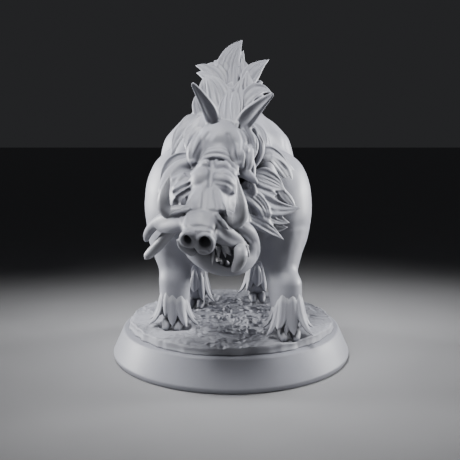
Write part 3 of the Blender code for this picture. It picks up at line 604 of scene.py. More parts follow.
# %% Folds of the face, brushed along lines in the head's frame
# each stroke: height, width, and places (t, q, h) along it
STROKES = [
    # valleys beside the brow rolls, and the dip over the wrinkles
    (
        -0.55, 0.6, (-1.2, 21.2, 7.2), (-2.0, 20.0, 5.6), (-2.5, 19.0, 4.6), (-2.9, 17.9, 3.8),
        (-3.1, 16.9, 3.1),
    ),
    (-0.5, 0.6, (1.4, 20.8, 7.2), (2.1, 19.4, 5.6), (2.7, 18.2, 4.6), (3.0, 17.2, 4.0)),
    (-0.5, 0.35, (4.1, 21.8, 6.2), (4.5, 20.0, 5.2), (4.9, 18.7, 4.3), (5.2, 17.4, 3.1)),
    (-0.35, 0.9, (-1.2, 19.0, 5.3), (0.3, 19.2, 5.6), (1.8, 19.0, 5.5)),
    (-0.35, 0.35, (1.5, 20.9, 6.2), (2.4, 19.7, 5.1), (3.1, 18.0, 4.3), (3.8, 16.5, 3.8)),
    (-0.3, 0.28, (3.4, 22.5, 6.1), (4.2, 21.0, 5.1), (4.3, 18.2, 5.0), (4.4, 17.0, 4.1)),
    (-0.35, 0.35, (-2.1, 21.2, 5.8), (-2.9, 20.0, 4.7), (-3.4, 18.1, 4.3), (-3.8, 16.6, 3.5)),
    (-0.3, 0.28, (-3.8, 22.9, 4.7), (-4.4, 20.0, 4.9), (-4.5, 17.9, 4.4), (-4.4, 16.6, 3.4)),
    (-0.2, 0.2, (5.2, 24.2, 5.9), (6.2, 22.8, 4.9), (6.5, 21.2, 3.4)),
    (-0.2, 0.2, (6.6, 24.2, 4.7), (7.6, 23.0, 2.9), (7.4, 21.6, 1.2)),
    (-0.2, 0.2, (5.0, 17.4, 2.1), (6.2, 17.2, 1.8), (7.2, 16.5, 1.1)),
    (-0.16, 0.18, (-0.7, 8.8, 3.1), (-0.5, 7.1, 2.9), (-0.3, 5.4, 2.6)),
    (-0.16, 0.18, (1.1, 9.1, 3.2), (1.6, 7.3, 3.1), (2.1, 5.5, 2.9)),
    # the gristle knuckle: its cleft and cross folds
    (
        -0.5, 0.36, (-0.5, 16.2, 3.9), (-0.3, 14.6, 3.9), (-0.1, 13.0, 3.8), (0.1, 11.0, 3.3),
        (0.1, 10.2, 3.0),
    ),
    (-0.3, 0.34, (-3.0, 14.2, 3.2), (-1.6, 14.4, 3.9), (-0.4, 14.3, 3.8)),
    (-0.35, 0.34, (-0.1, 13.8, 3.9), (1.0, 14.3, 4.2), (2.4, 14.2, 4.2), (3.6, 13.6, 3.3)),
    (-0.18, 0.3, (0.2, 12.5, 4.1), (1.5, 12.3, 4.4), (2.8, 12.4, 4.2), (3.9, 12.2, 3.4)),
    (-0.25, 0.3, (0.4, 11.2, 3.7), (1.6, 10.9, 4.0), (2.8, 11.0, 3.8), (4.0, 11.2, 2.9)),
    (-0.15, 0.25, (1.0, 10.5, 3.5), (2.2, 10.3, 3.5), (3.4, 10.5, 3.0)),
    # bridge plate: middle groove, flank line and the step to the muzzle
    (-0.3, 0.5, (-0.3, 9.8, 3.3), (-0.1, 7.4, 3.1), (0.1, 5.4, 2.8)),
    (-0.18, 0.3, (-2.9, 5.2, 1.7), (-1.0, 5.0, 2.5), (1.4, 5.0, 2.9), (3.4, 5.4, 2.6)),
    (-0.2, 0.3, (1.2, 9.4, 3.4), (1.7, 7.4, 3.3), (2.3, 5.8, 3.1)),
    # the rim round the back of the snout disc, and the furrow between its lobes
    (
        -0.4, 0.28, (-3.2, 1.5, 0.6), (-2.3, 1.6, 1.9), (-0.9, 1.7, 1.9), (0.6, 1.7, 2.2),
        (1.9, 1.6, 2.0), (3.0, 1.7, 0.4), (3.3, 1.7, -1.2),
    ),
    (-0.45, 0.26, (-0.4, 0.4, 1.9), (-0.3, -0.4, 0.6), (-0.35, -0.4, -0.8), (-0.4, 0.0, -2.2)),
    # muzzle to lip
    (-0.25, 0.3, (3.0, 5.2, 2.0), (3.0, 3.4, 1.6), (3.1, 1.9, 0.8)),
    (-0.25, 0.3, (-3.1, 5.2, 1.4), (-3.1, 3.4, 1.2), (-3.2, 1.9, 0.7)),
    # lips: the fold between roll and flap, then fine wrinkles along them
    (-0.3, 0.3, (4.4, 4.8, 0.4), (6.0, 5.0, -1.4), (7.4, 5.4, -3.6), (8.1, 5.9, -5.8)),
    (-0.12, 0.16, (3.6, 3.4, 0.2), (5.0, 3.8, -1.6), (6.4, 4.5, -3.6)),
    (-0.12, 0.16, (4.4, 3.9, 0.3), (5.8, 4.3, -1.6), (7.0, 4.9, -3.4)),
    (-0.1, 0.16, (6.4, 5.4, -0.4), (8.0, 5.9, -2.4), (9.0, 6.3, -4.8)),
    (-0.15, 0.3, (-3.8, 4.5, 0.9), (-6.0, 4.9, -1.3), (-8.0, 5.8, -3.8), (-9.5, 6.6, -6.2)),
    (-0.1, 0.16, (-3.6, 3.4, 0.2), (-5.4, 3.8, -1.6), (-7.2, 4.6, -3.4)),
    # cheek folds between the knuckle and the tusk
    (0.55, 0.45, (-3.5, 10.9, 1.9), (-4.7, 9.8, 1.5), (-6.0, 8.8, 0.8)),
    (0.5, 0.42, (-3.5, 12.2, 2.1), (-4.9, 11.3, 1.6), (-6.3, 10.4, 1.0)),
    (0.45, 0.4, (-3.3, 9.7, 1.5), (-4.4, 8.7, 1.1), (-5.2, 7.9, 0.8)),
    (-0.5, 0.3, (-3.5, 11.6, 2.0), (-4.8, 10.6, 1.6), (-6.2, 9.7, 0.9)),
    (-0.6, 0.35, (-3.5, 10.3, 1.7), (-4.6, 9.3, 1.2), (-5.6, 8.4, 0.8)),
    (0.35, 0.4, (-3.8, 13.8, 2.3), (-5.2, 13.9, 1.8), (-6.9, 13.4, 1.0)),
    (-0.3, 0.4, (-3.8, 13.0, 2.2), (-5.0, 12.8, 1.7), (-6.4, 12.2, 1.1)),
    (0.35, 0.35, (-5.2, 15.0, 1.6), (-5.6, 13.2, 1.4), (-6.2, 11.6, 0.9)),
    (-0.45, 0.45, (-4.6, 16.4, 2.0), (-5.8, 16.1, 1.3), (-6.8, 15.0, 0.9)),
    (-0.45, 0.35, (3.7, 9.6, 2.2), (4.6, 9.0, 1.6), (5.2, 8.6, 1.0)),
    (-0.35, 0.3, (4.3, 14.7, 2.2), (5.4, 13.6, 1.2), (6.0, 12.0, 0.2)),
    (0.4, 0.35, (4.2, 13.6, 1.9), (5.2, 12.4, 1.0), (5.7, 10.8, 0.2)),
    (-0.3, 0.28, (4.0, 12.6, 2.0), (4.9, 11.4, 1.1), (5.3, 10.0, 0.5)),
    (0.35, 0.3, (3.9, 11.4, 1.8), (4.8, 10.4, 1.2), (5.2, 9.6, 0.7)),
]
for height, width, *points in STROKES:
    clay.stroke(head_row(points), height, width)
print(len(STROKES), "strokes over the face")

# %% Pits of the eyes and behind the tusks
PITS = [
    on_face([(-4.6, 15.9, 1.3, 0.25), (-3.8, 16.1, 1.9, 0.45), (-3.0, 16.2, 2.7, 0.25)], 0.35),
    on_face([(4.9, 15.8, 1.4, 0.25), (4.2, 16.0, 2.1, 0.5), (3.4, 16.1, 2.9, 0.25)], 0.35),
    bump((-5.5, 8.2, 0.2), (1.0, 1.0, 1.2), 0.25),
    bump((4.7, 9.2, 0.3), (0.8, 1.5, 1.1), 0.25),
]
cut_back(PITS)
print("face modelled")


# %% Ears
EARS = [
    ([
        (-1.5, 25.4, 4.2, 1.3), (-2.5, 25.3, 7.4, 1.4), (-4.0, 25.2, 10.3, 0.95),
        (-5.6, 25.2, 12.7, 0.42),
    ], (0.45, -0.9, 0.3)),
    ([
        (3.0, 25.4, 4.2, 1.4), (4.3, 25.3, 7.3, 1.65), (6.1, 25.2, 10.1, 1.15),
        (8.1, 25.2, 12.6, 0.44),
    ], (-0.55, -0.9, 0.3)),
]
for rows, face in EARS:
    clay.add(tube(rows, 0.62, face, head=True), 0.7)
    rows = np.array(rows)
    face = np.array(face) / np.linalg.norm(face)
    start = (rows[0] + rows[1]) / 2
    cup = [(*(start[:3] + face * start[3]), 0.55 * start[3])]
    cup += [(*(row[:3] + face * 0.8 * row[3]), 0.72 * row[3]) for row in rows[1:]]
    clay.carve(tube(cup, 0.75, face, head=True), 0.3)
    ridge = [tuple(row[:3] - face * 0.1 * row[3]) for row in rows[:3]]
    clay.stroke(head_row(ridge), 0.2, 0.3)
print("ears added")


# %% [markdown]
# ## Skin
#
# The finished clay is skinned in one go.  Its faces are all about one grid step across, which keeps every
# brushed fold as real geometry.

# %% Skin the clay
def make_object(name, points, faces):
    """A smooth mesh object from places in millimetres and an array of faces."""
    mesh = bpy.data.meshes.new(name)
    sides = faces.shape[1]
    mesh.vertices.add(len(points))
    mesh.vertices.foreach_set("co", (np.asarray(points, np.float64) * MM).astype(np.float32).ravel())
    mesh.loops.add(len(faces) * sides)
    mesh.loops.foreach_set("vertex_index", np.asarray(faces, np.int32).ravel())
    mesh.polygons.add(len(faces))
    mesh.polygons.foreach_set("loop_start", np.arange(len(faces), dtype=np.int32) * sides)
    mesh.update(calc_edges=True)
    mesh.validate()
    mesh.shade_smooth()
    made = bpy.data.objects.new(name, mesh)
    bpy.context.scene.collection.objects.link(made)
    return made


def closed_rings(rings, around):
    """Triangles of a stack of rings of points, closed by one point before the first and one past the last.

    The two end points follow the rings in the list of points.
    """
    k = np.arange(around)
    following = (k + 1) % around
    faces = []
    for start in range(0, (rings - 1) * around, around):
        a, b = start + k, start + following
        faces += [np.stack([a, b, b + around], 1), np.stack([a, b + around, a + around], 1)]
    last, end = (rings - 1) * around, rings * around
    faces.append(np.stack([following, k, np.full(around, end)], 1))
    faces.append(np.stack([last + k, last + following, np.full(around, end + 1)], 1))
    return np.vstack(faces)


def framed(places, toward):
    """Directions along a line of places, across it, and out of it towards a way."""
    along = np.gradient(places, axis=0)
    along /= np.linalg.norm(along, axis=1)[:, None]
    across = np.cross(along, np.array(toward, float))
    across /= np.linalg.norm(across, axis=1)[:, None]
    return along, across, np.cross(across, along)


def skinned(clay):
    """Places and four-sided faces of the clay's surface."""
    grid = vdb.FloatGrid(float(REACH))
    grid.copyFromArray(clay.field)
    grid.transform = vdb.createLinearTransform(voxelSize=clay.step)
    points, faces = grid.convertToQuads(isovalue=0.0)
    return points + clay.low, faces


PIECES = {}


def place(name, points, faces, slot, *nodes):
    """Put a piece on the model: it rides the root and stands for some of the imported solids."""
    made = make_object(name, points, faces)
    PIECES[name] = slot
    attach(made, "root")
    if nodes:
        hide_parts(*nodes)
    return made


skin_points, skin_faces = skinned(clay)
place("boar_skin", skin_points, skin_faces, "resin_hide", *FLESH, *LEGS, "ear_left", "ear_right")
print("skin:", len(skin_points), "points,", len(skin_faces), "faces")


# %% [markdown]
# ## Hair
#
# On the figurine the mane is cast, not planted: locks are flame-shaped, with a rolled rim and a few soft
# furrows, and they run into one another and into the skin.  So each lock is lofted along its own bow with a
# furrowed section, and the locks of a node are then melted together with the skin in a finer block of clay.
# Only what stands out of the skin is kept, which makes one solid piece of coat.  Each place on it takes the
# patch of its nearest lock on an unwrap of the trunk, rolled out round its long axis, so that a pattern
# could run across the whole coat.

# %% One blade of hair
RINGS, SIDES = ((12, 40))
PATCH = 0.003  # size of a lock's patch on the shared unwrap
BEYOND = 20  # millimetres that the unwrap goes on in front of the trunk and behind it
trunk_low, trunk_high = box_mm("trunk")


def unwrap_place(point):
    """Where a root lies on the trunk, rolled out round its long axis."""
    middle = (trunk_low + trunk_high) / 2
    around = math.atan2(point[0] - middle[0], point[2] - middle[2]) / (2 * math.pi) + 0.5
    along = (point[1] - trunk_low[1] + BEYOND) / (trunk_high[1] - trunk_low[1] + 2 * BEYOND)
    return np.array([around, along])


def blade(rows, face, thick, ribs, cup, seed):
    """A furrowed lock along rows (x, y, z, width); face is the way its flat side looks.

    A cup above nought curls the long edges towards that side, below nought away from it.
    """
    line = curve(rows, RINGS)
    places, widths = line[:, :3], np.maximum(line[:, 3], 0.02)
    _, across, out = framed(places, face)
    s = np.linspace(0, 1, len(line))[:, None]
    turn = 2 * math.pi * np.arange(SIDES) / SIDES
    u, w = np.cos(turn)[None, :], np.sin(turn)[None, :]
    half = widths[:, None] / 2 * (1 + 0.05 * np.sin(9 * s + seed))
    depth = thick / 2 * np.sqrt(half / half.max())
    # furrows run along the lock, fade in from its root and die out at its tip
    warped = u + 0.14 * np.sin(2.6 * u + seed) + 0.12 * np.sin(2.4 * s + 1.7 * seed)
    furrow = (0.5 + 0.5 * np.cos(math.pi * (ribs - 1) * (warped + 1) + math.pi * ribs)) ** 1.5
    fade = np.clip(1.6 * s + 0.3, 0, 1) * np.clip(3.0 * (1 - s), 0, 1)
    # a rolled rim near both edges
    rim = 0.28 * np.exp(-(((np.abs(u) - 0.84) / 0.12) ** 2)) * np.clip(3.0 * (1 - s), 0, 1)
    body = w * (0.8 - 0.5 * furrow * fade * np.abs(w)) + np.sign(w) * rim * np.abs(w) ** 0.3
    lift = depth * body + cup * half * (u * u - 0.4)
    grid = places[:, None, :] + across[:, None, :] * (half * u)[..., None]
    grid = grid + out[:, None, :] * lift[..., None]
    points = np.vstack([grid.reshape(-1, 3), places[:1], places[-1:]])
    return points, closed_rings(len(line), SIDES), places, unwrap_place(rows[0])


# %% Locks melted together and onto the skin
HAIR_STEP = 0.12
HAIR_SOFT, RUFF_SOFT, FEATHER_SOFT = 0.4, 0.7, 0.15  # width of the fillet between locks
OVERLAP = 0.2  # how deep the hair reaches into the skin
FADE = 0.03  # hair thinner than this over the skin is left off
FAR = 4.0  # a place this far from its lock lies on the edge of the lock's patch
HAIR_REACH, HAIR_MARGIN = 0.7, 0.8  # how far round a lock its distances are true, and are kept
BLOCK_MARGIN = 0.9  # clay left round the locks of a block


def resampled(source, target):
    """The field of one block of clay at the grid points of another, by straight-line interpolation."""
    field = source.field
    for axis in range(3):
        places = target.low[axis] + target.step * np.arange(target.shape[axis])
        places = np.clip((places - source.low[axis]) / source.step, 0, source.shape[axis] - 1.001)
        first = places.astype(int)
        share = (places - first).astype(np.float32)
        share = share.reshape([-1 if a == axis else 1 for a in range(3)])
        field = np.take(field, first, axis) * (1 - share) + np.take(field, first + 1, axis) * share
    return field


def coat(name, node, blades, soft=HAIR_SOFT):
    """Many locks melted into one piece of coat that flows out of the skin, in place of a node."""
    corners = np.vstack([points for points, _, _, _ in blades])
    block = Clay(corners.min(0) - BLOCK_MARGIN, corners.max(0) + BLOCK_MARGIN, HAIR_STEP)
    flesh = resampled(clay, block)
    block.field = flesh.copy()
    for points, faces, _, _ in blades:
        block.melt(*mesh_field(block, points, faces, HAIR_REACH, HAIR_MARGIN), soft)
    thick = block.field - flesh + FADE
    block.field = np.maximum(np.maximum(block.field, thick), -(flesh + OVERLAP))
    points, faces = skinned(block)
    made = place(name, points, faces, "resin_hair", node)
    nearest = np.full(len(points), np.inf)
    chart = np.zeros((len(points), 2))
    for _, _, spine, patch_at in blades:
        away = np.linalg.norm(points[:, None, :] - spine[None, :, :], axis=2)
        ring = away.argmin(1)
        away = away.min(1)
        closer = away < nearest
        nearest[closer] = away[closer]
        along = ring / (len(spine) - 1) - 0.5
        local = np.stack([np.clip(away / FAR, 0, 1) - 0.5, along], 1) * PATCH
        chart[closer] = (local + patch_at)[closer]
    layer = made.data.uv_layers.new(name="OFBake")
    corner = np.empty(len(made.data.loops), np.int32)
    made.data.loops.foreach_get("vertex_index", corner)
    layer.data.foreach_set("uv", chart[corner].astype(np.float32).ravel())
    print(name, len(blades), "locks,", 2 * len(faces), "triangles")


# %% Mane and ruffs, lock by lock
LEAF = [0.55, 0.86, 1.0, 0.97, 0.78, 0.46, 0.03]  # width along a lock, as a share of its widest


def leaf_rows(root, belly, tip, width):
    """Rows of a leaf-shaped lock on a bow from its root through its belly to its tip."""
    root, belly, tip = (np.array(p, float) for p in (root, belly, tip))
    bend = 2 * belly - (root + tip) / 2
    rows = []
    for i, share in enumerate(LEAF):
        t = i / (len(LEAF) - 1)
        at = root * (1 - t) ** 2 + bend * 2 * t * (1 - t) + tip * t * t
        rows.append((*at, width * share))
    return rows


# each lock: root, belly and tip from the middle of its node, then its greatest width
LOCKS = {
    "mane_front": [
        ((-0.4, -9.2, -6.9), (-0.2, -3.9, -1.9), (-0.2, 1.2, 2.0), 2.2),
        ((-1.7, -8.8, -6.9), (-1.5, -4.3, -2.5), (-0.6, 0.2, 0.8), 1.8),
        ((0.9, -8.8, -6.1), (0.8, -4.1, -1.7), (1.0, 0.4, 1.6), 1.8),
        ((1.2, -4.2, -4.2), (1.0, -0.8, 0.0), (2.3, 2.2, 3.7), 2.7),
        ((-1.4, -3.2, -4.5), (-2.5, 0.0, 1.0), (-4.9, 2.6, 4.2), 4.6),
        ((-3.6, 0.0, -3.0), (-4.7, 1.6, 0.6), (-5.3, 3.6, 4.0), 3.2),
        ((2.7, -1.9, -3.0), (3.1, 0.9, 1.3), (3.2, 4.1, 5.4), 2.9),
        ((2.2, -1.2, -1.8), (4.7, 0.7, 1.3), (7.9, 2.2, 0.9), 3.0),
        ((3.2, 0.4, -2.4), (4.8, 1.9, 0.0), (6.6, 3.2, 0.2), 2.4),
        ((-1.0, 0.1, -3.5), (-0.8, 2.0, 0.2), (0.3, 4.1, 3.2), 3.0),
        ((-5.2, 0.6, -5.0), (-6.4, 2.2, -2.2), (-6.8, 3.4, 0.6), 2.4),
    ],
    "mane_middle": [
        ((-0.8, -5.0, -6.3), (-0.9, 1.2, 1.2), (2.2, 7.7, 7.2), 5.2),
        ((0.9, -0.7, -3.6), (1.6, 2.2, 0.8), (2.4, 5.3, 4.8), 2.0),
        ((2.4, -2.7, -3.2), (2.5, -0.5, 0.0), (1.9, 1.4, 2.6), 2.2),
        ((-2.0, -4.5, -4.6), (-4.2, -1.6, -0.7), (-7.7, 0.4, 1.0), 3.2),
        ((-3.0, -5.7, -4.6), (-4.9, -3.7, -1.8), (-7.4, -1.8, -0.7), 2.4),
        ((-2.0, -2.7, -3.8), (-3.2, -0.2, -0.3), (-5.2, 1.4, 1.5), 3.4),
        ((-1.6, -1.7, -3.2), (-2.4, 0.9, 0.4), (-3.9, 2.4, 2.2), 3.4),
        ((2.8, -5.5, -4.9), (3.9, -2.7, -0.9), (7.7, 1.3, 2.3), 3.6),
        ((3.0, -5.7, -6.0), (4.6, -3.8, -3.5), (6.2, -2.7, -2.7), 2.7),
        ((0.8, -2.7, -4.4), (1.1, 0.3, -1.0), (1.0, 2.6, 2.2), 3.2),
        ((-0.9, 1.6, -5.2), (-1.5, 5.0, -0.6), (-1.0, 8.6, 3.0), 3.6),
        ((-0.8, 3.6, -5.6), (-0.6, 7.2, -1.4), (0.4, 9.8, 1.6), 3.6),
        ((0.6, 0.6, -4.8), (1.4, 4.0, -1.0), (1.6, 6.8, 2.0), 3.0),
    ],
    "ruff_left": [
        ((-5.0, -4.6, 0.4), (-2.0, -3.2, -1.6), (1.4, -1.2, -3.6), 3.4),
        ((-5.6, -5.6, -2.2), (-2.6, -4.0, -4.6), (1.6, -2.2, -6.0), 4.4),
        ((-5.2, -5.4, -4.6), (-3.2, -4.6, -6.8), (-0.6, -3.6, -8.8), 3.4),
        ((-3.9, -2.0, 3.4), (-0.9, -0.7, 5.2), (3.3, 1.5, 1.9), 2.6),
        ((-0.9, -1.0, 4.2), (1.9, 0.3, 1.4), (2.4, 0.3, -2.0), 2.0),
        ((-3.9, -4.0, 1.3), (-1.2, -3.0, 0.3), (1.6, -1.6, -1.5), 4.0),
        ((-4.1, -4.5, -0.8), (-2.1, -3.9, -1.9), (0.2, -3.3, -2.2), 1.9),
        ((-0.2, -2.0, -0.8), (1.9, -1.3, -3.1), (4.0, -1.5, -5.2), 1.5),
        ((-6.4, -6.4, -0.1), (-1.2, -4.4, -4.3), (4.8, -2.1, -4.8), 3.5),
        ((-4.4, -5.5, -3.0), (-1.0, -4.3, -6.1), (2.6, -3.1, -7.5), 2.8),
        ((-6.2, -6.8, -1.8), (-2.9, -5.7, -4.0), (-1.9, -5.1, -7.8), 2.7),
        ((-5.0, -6.3, -6.3), (-1.9, -5.3, -8.0), (1.5, -4.1, -10.6), 1.9),
        ((-5.4, -5.0, -5.3), (-1.4, -3.7, -7.8), (2.3, -2.7, -8.4), 3.0),
        ((-3.9, 1.6, 10.6), (-2.2, 0.3, 7.4), (-4.5, -1.9, 3.0), 1.4),
        ((-4.6, 1.0, 10.4), (-3.5, -0.4, 7.0), (-4.8, -2.1, 3.5), 1.2),
        ((-2.4, 2.4, 8.7), (-1.7, 1.2, 6.5), (-3.2, -0.6, 4.4), 1.6),
        ((-4.3, -6.2, -0.2), (-4.1, -6.2, -1.3), (-4.6, -6.2, -2.5), 0.6),
    ],
    "ruff_right": [
        ((3.8, 3.2, 9.9), (1.2, 0.6, 7.4), (1.2, -1.4, 4.4), 1.5),
        ((3.8, 1.2, 7.9), (1.9, -1.0, 5.3), (1.6, -2.6, 1.7), 1.5),
        ((2.1, -2.6, 2.6), (-1.7, -1.6, 1.3), (-3.9, -2.2, -4.2), 3.2),
        ((1.9, -3.3, 1.0), (-0.9, -2.6, -0.2), (-2.8, -2.8, -5.0), 3.0),
        ((2.3, -6.1, -1.8), (0.0, -5.6, -2.8), (-2.1, -5.1, -4.8), 1.2),
        ((2.4, -6.7, -3.1), (0.6, -6.3, -4.0), (-1.1, -5.9, -5.5), 1.0),
        ((1.9, -3.9, 0.2), (-0.3, -3.5, -0.6), (-1.9, -3.6, -3.3), 1.6),
        ((1.5, 3.6, 9.5), (-0.6, 2.2, 7.2), (-2.0, 0.8, 3.2), 2.2),
        ((2.5, 4.4, 10.6), (0.7, 3.2, 9.4), (-0.8, 2.0, 6.6), 1.8),
    ],
}
FACES = {
    "mane_front": (0.0, -1.0, 0.45),
    "mane_middle": (0.0, -1.0, 0.35),
    "ruff_left": (0.35, -1.0, 0.3),
    "ruff_right": (-0.35, -1.0, 0.3),
}


def lock(node, root, belly, tip, width, face, seed, cup=0.2):
    """A leaf-shaped lock set from the middle of its node."""
    middle = middle_of(node)
    rows = leaf_rows(middle + root, middle + belly, middle + tip, width)
    ribs = 2 + sum(width >= limit for limit in (1.5, 2.6, 4))
    return blade(rows, face, 0.5 + 0.18 * width, ribs, cup, seed)


for node, locks in LOCKS.items():
    soft = RUFF_SOFT if node.startswith("ruff") else HAIR_SOFT
    blades = [lock(node, *row, FACES[node], 1.3 * n) for n, row in enumerate(locks)]
    coat(node + "_hair", node, blades, soft)

# %% Rear mane, leaning left and right by turns, and the tail's tuft
REAR = [
    ((-0.2, -8.3, -1.3), (-0.8, -4.5, 5.4), (0.2, 0.7, 10.2), 4.6),
    ((-1.0, -7.0, -1.6), (-2.1, -3.5, 4.0), (-2.2, 0.0, 8.0), 3.2),
    ((0.8, -6.5, -1.6), (2.0, -2.5, 3.8), (2.0, 1.5, 7.5), 3.2),
    ((-0.9, -5.3, -2.4), (-2.4, -1.0, 2.8), (-2.9, 3.2, 6.2), 4.2),
    ((0.5, -4.8, -2.4), (2.2, -0.5, 2.6), (2.9, 3.7, 5.7), 4.2),
    ((-0.2, -3.4, -3.2), (-0.5, 1.1, 1.2), (-0.6, 5.6, 3.8), 3.6),
    ((-0.9, -2.4, -4.2), (-1.9, 2.0, 0.3), (-2.2, 6.4, 2.4), 3.2),
    ((0.4, -1.8, -4.6), (0.2, 2.8, -0.2), (-0.5, 7.2, 1.7), 4.0),
    ((0.6, 0.4, -6.2), (1.7, 4.3, -2.4), (2.0, 8.2, -0.8), 3.0),
    ((-0.2, 1.7, -7.8), (0.0, 5.7, -4.3), (0.1, 9.7, -3.8), 3.6),
    ((-0.8, 2.8, -8.6), (-1.2, 6.0, -6.3), (-1.4, 9.4, -6.0), 2.6),
]
blades = [lock("mane_rear", *row, (1, 0.3 * (-1) ** n, 0.1), n, 0.1) for n, row in enumerate(REAR)]
coat("mane_rear_hair", "mane_rear", blades)

TUFT = [
    ((0.0, 0.1, 3.4), (-0.2, 0.7, -0.2), (-0.7, 0.6, -3.8), 3.2),
    ((0.1, 0.0, 3.2), (0.5, -0.7, 0.2), (0.8, -1.0, -2.8), 2.7),
    ((-0.2, 0.2, 3.2), (-1.0, -0.2, 0.6), (-1.2, -0.6, -2.0), 2.4),
    ((0.1, 0.3, 3.0), (0.3, 1.1, 0.3), (0.4, 1.4, -2.4), 2.4),
]
blades = [lock("tail_tuft", *row, (0.4, 1, 0), n, -0.1) for n, row in enumerate(TUFT)]
coat("tail_tuft_hair", "tail_tuft", blades)


# %% Feathering over the hooves: pointed leaves round each leg
LEG_RADIUS = 2.35  # of a front leg at its cuff


def feathers(node, leaves, size):
    """Leaves (angle from the front, reach, drop, width, height of root) round the leg over a hoof."""
    at = leg_middle(node.replace("fetlock", "hoof"))
    blades = []
    for number, (angle, reach, drop, width, rise) in enumerate(leaves):
        away = np.array([math.sin(math.radians(angle)), -math.cos(math.radians(angle)), 0.0])
        flare = reach - LEG_RADIUS
        rows = []
        for out, height, wide in (
            (LEG_RADIUS - 0.15, rise, 0.2 * width),
            (LEG_RADIUS + 0.2, 0.45 * rise - 1.7, 0.8 * width),
            (LEG_RADIUS + 0.24 * flare + 0.15, -0.6 * drop * size, width),
            (LEG_RADIUS + 0.62 * flare, -0.86 * drop * size, 0.68 * width),
            (reach, -drop * size, 0.05),
        ):
            rows.append((*(at + away * out * size + (0, 0, height)), wide))
        blades.append(blade(rows, away + (0, 0, 0.4), 0.85, 2, -0.2, number))
    return blades


FEATHERS = {
    "fetlock_front_right": [
        (-98, 5.0, 6.6, 1.8, 0), (-64, 5.4, 6.9, 2.1, 0.6), (-28, 3.3, 5.0, 1.5, 1.0),
        (0, 3.5, 7.0, 2.1, 0.2), (38, 4.6, 7.0, 2.3, 0.6), (66, 5.6, 7.1, 1.7, 0),
        (108, 4.6, 6.8, 2.0, 0.3), (148, 4.5, 6.8, 2.0, 0), (186, 4.7, 7.0, 2.0, 0.4),
        (224, 4.6, 6.6, 2.0, 0),
    ],
    "fetlock_front_left": [
        (-52, 5.5, 7.7, 1.8, 0), (-33, 4.2, 6.4, 2.5, 0.9), (-11, 3.3, 7.5, 1.4, 0),
        (13, 3.7, 7.4, 2.4, 0.3), (48, 6.0, 7.4, 2.1, 0.7), (82, 4.8, 6.8, 1.9, 0),
        (118, 4.5, 6.8, 2.0, 0.4), (155, 4.6, 6.8, 2.0, 0), (192, 4.8, 7.0, 2.0, 0.4),
        (232, 4.6, 6.6, 2.0, 0), (272, 4.9, 7.0, 1.9, 0.4),
    ],
    "fetlock_hind_right": [
        (-95, 4.8, 6.8, 1.9, 0), (-50, 4.1, 6.0, 1.9, 0.2), (-8, 3.4, 5.0, 2.1, 0.8),
        (28, 3.8, 7.2, 1.7, 0), (62, 5.2, 7.8, 1.8, 0.3), (105, 4.6, 7.0, 1.9, 0),
        (150, 4.6, 7.0, 1.9, 0.3), (190, 4.8, 7.2, 1.9, 0), (230, 4.6, 6.8, 1.9, 0.3),
    ],
    "fetlock_hind_left": [
        (-75, 5.2, 7.4, 1.9, 0), (-38, 4.6, 6.4, 1.9, 0.3), (0, 3.6, 5.2, 2.3, 0.8),
        (36, 3.8, 6.8, 1.9, 0), (70, 4.8, 7.2, 1.8, 0.3), (110, 4.6, 7.0, 1.9, 0),
        (150, 4.6, 7.0, 1.9, 0.3), (190, 4.8, 7.2, 1.9, 0), (235, 4.6, 6.8, 1.9, 0.3),
    ],
}
for node, leaves in FEATHERS.items():
    size = 1.0 if "front" in node else 0.9
    coat(node + "_hair", node, feathers(node, leaves, size), FEATHER_SOFT)


# %% [markdown]
# ## Tusks, teeth and eyes
#
# Ivory is smooth and tapers evenly, so a tusk is a round loft with faint growth rings.  The upper pair curl
# up out of the lips and the lower pair hang below them.  Small broken teeth show inside the open lip.

# %% Horn-like pieces
def horn(rows, rings_of_growth=14, sides=SIDES):
    """A round, tapering loft along rows (x, y, z, radius), closed at both ends."""
    line = curve(rows, RINGS)
    places, radii = line[:, :3], np.maximum(line[:, 3], 0.01)
    along, across, out = framed(places, (0.13, -1.0, 0.31))
    s = np.linspace(0, 1, len(line))
    radii = radii * (1 + 0.004 * np.sin(2 * math.pi * rings_of_growth * s + np.sin(9 * s)))
    turn = (2 * math.pi * np.arange(sides) / sides)[None, :, None]
    ring = across[:, None, :] * np.cos(turn) + out[:, None, :] * np.sin(turn)
    points = (places[:, None, :] + ring * radii[:, None, None]).reshape(-1, 3)
    points = np.vstack([points, places[:1], places[-1:] + along[-1:] * radii[-1]])
    return points, closed_rings(len(line), sides)


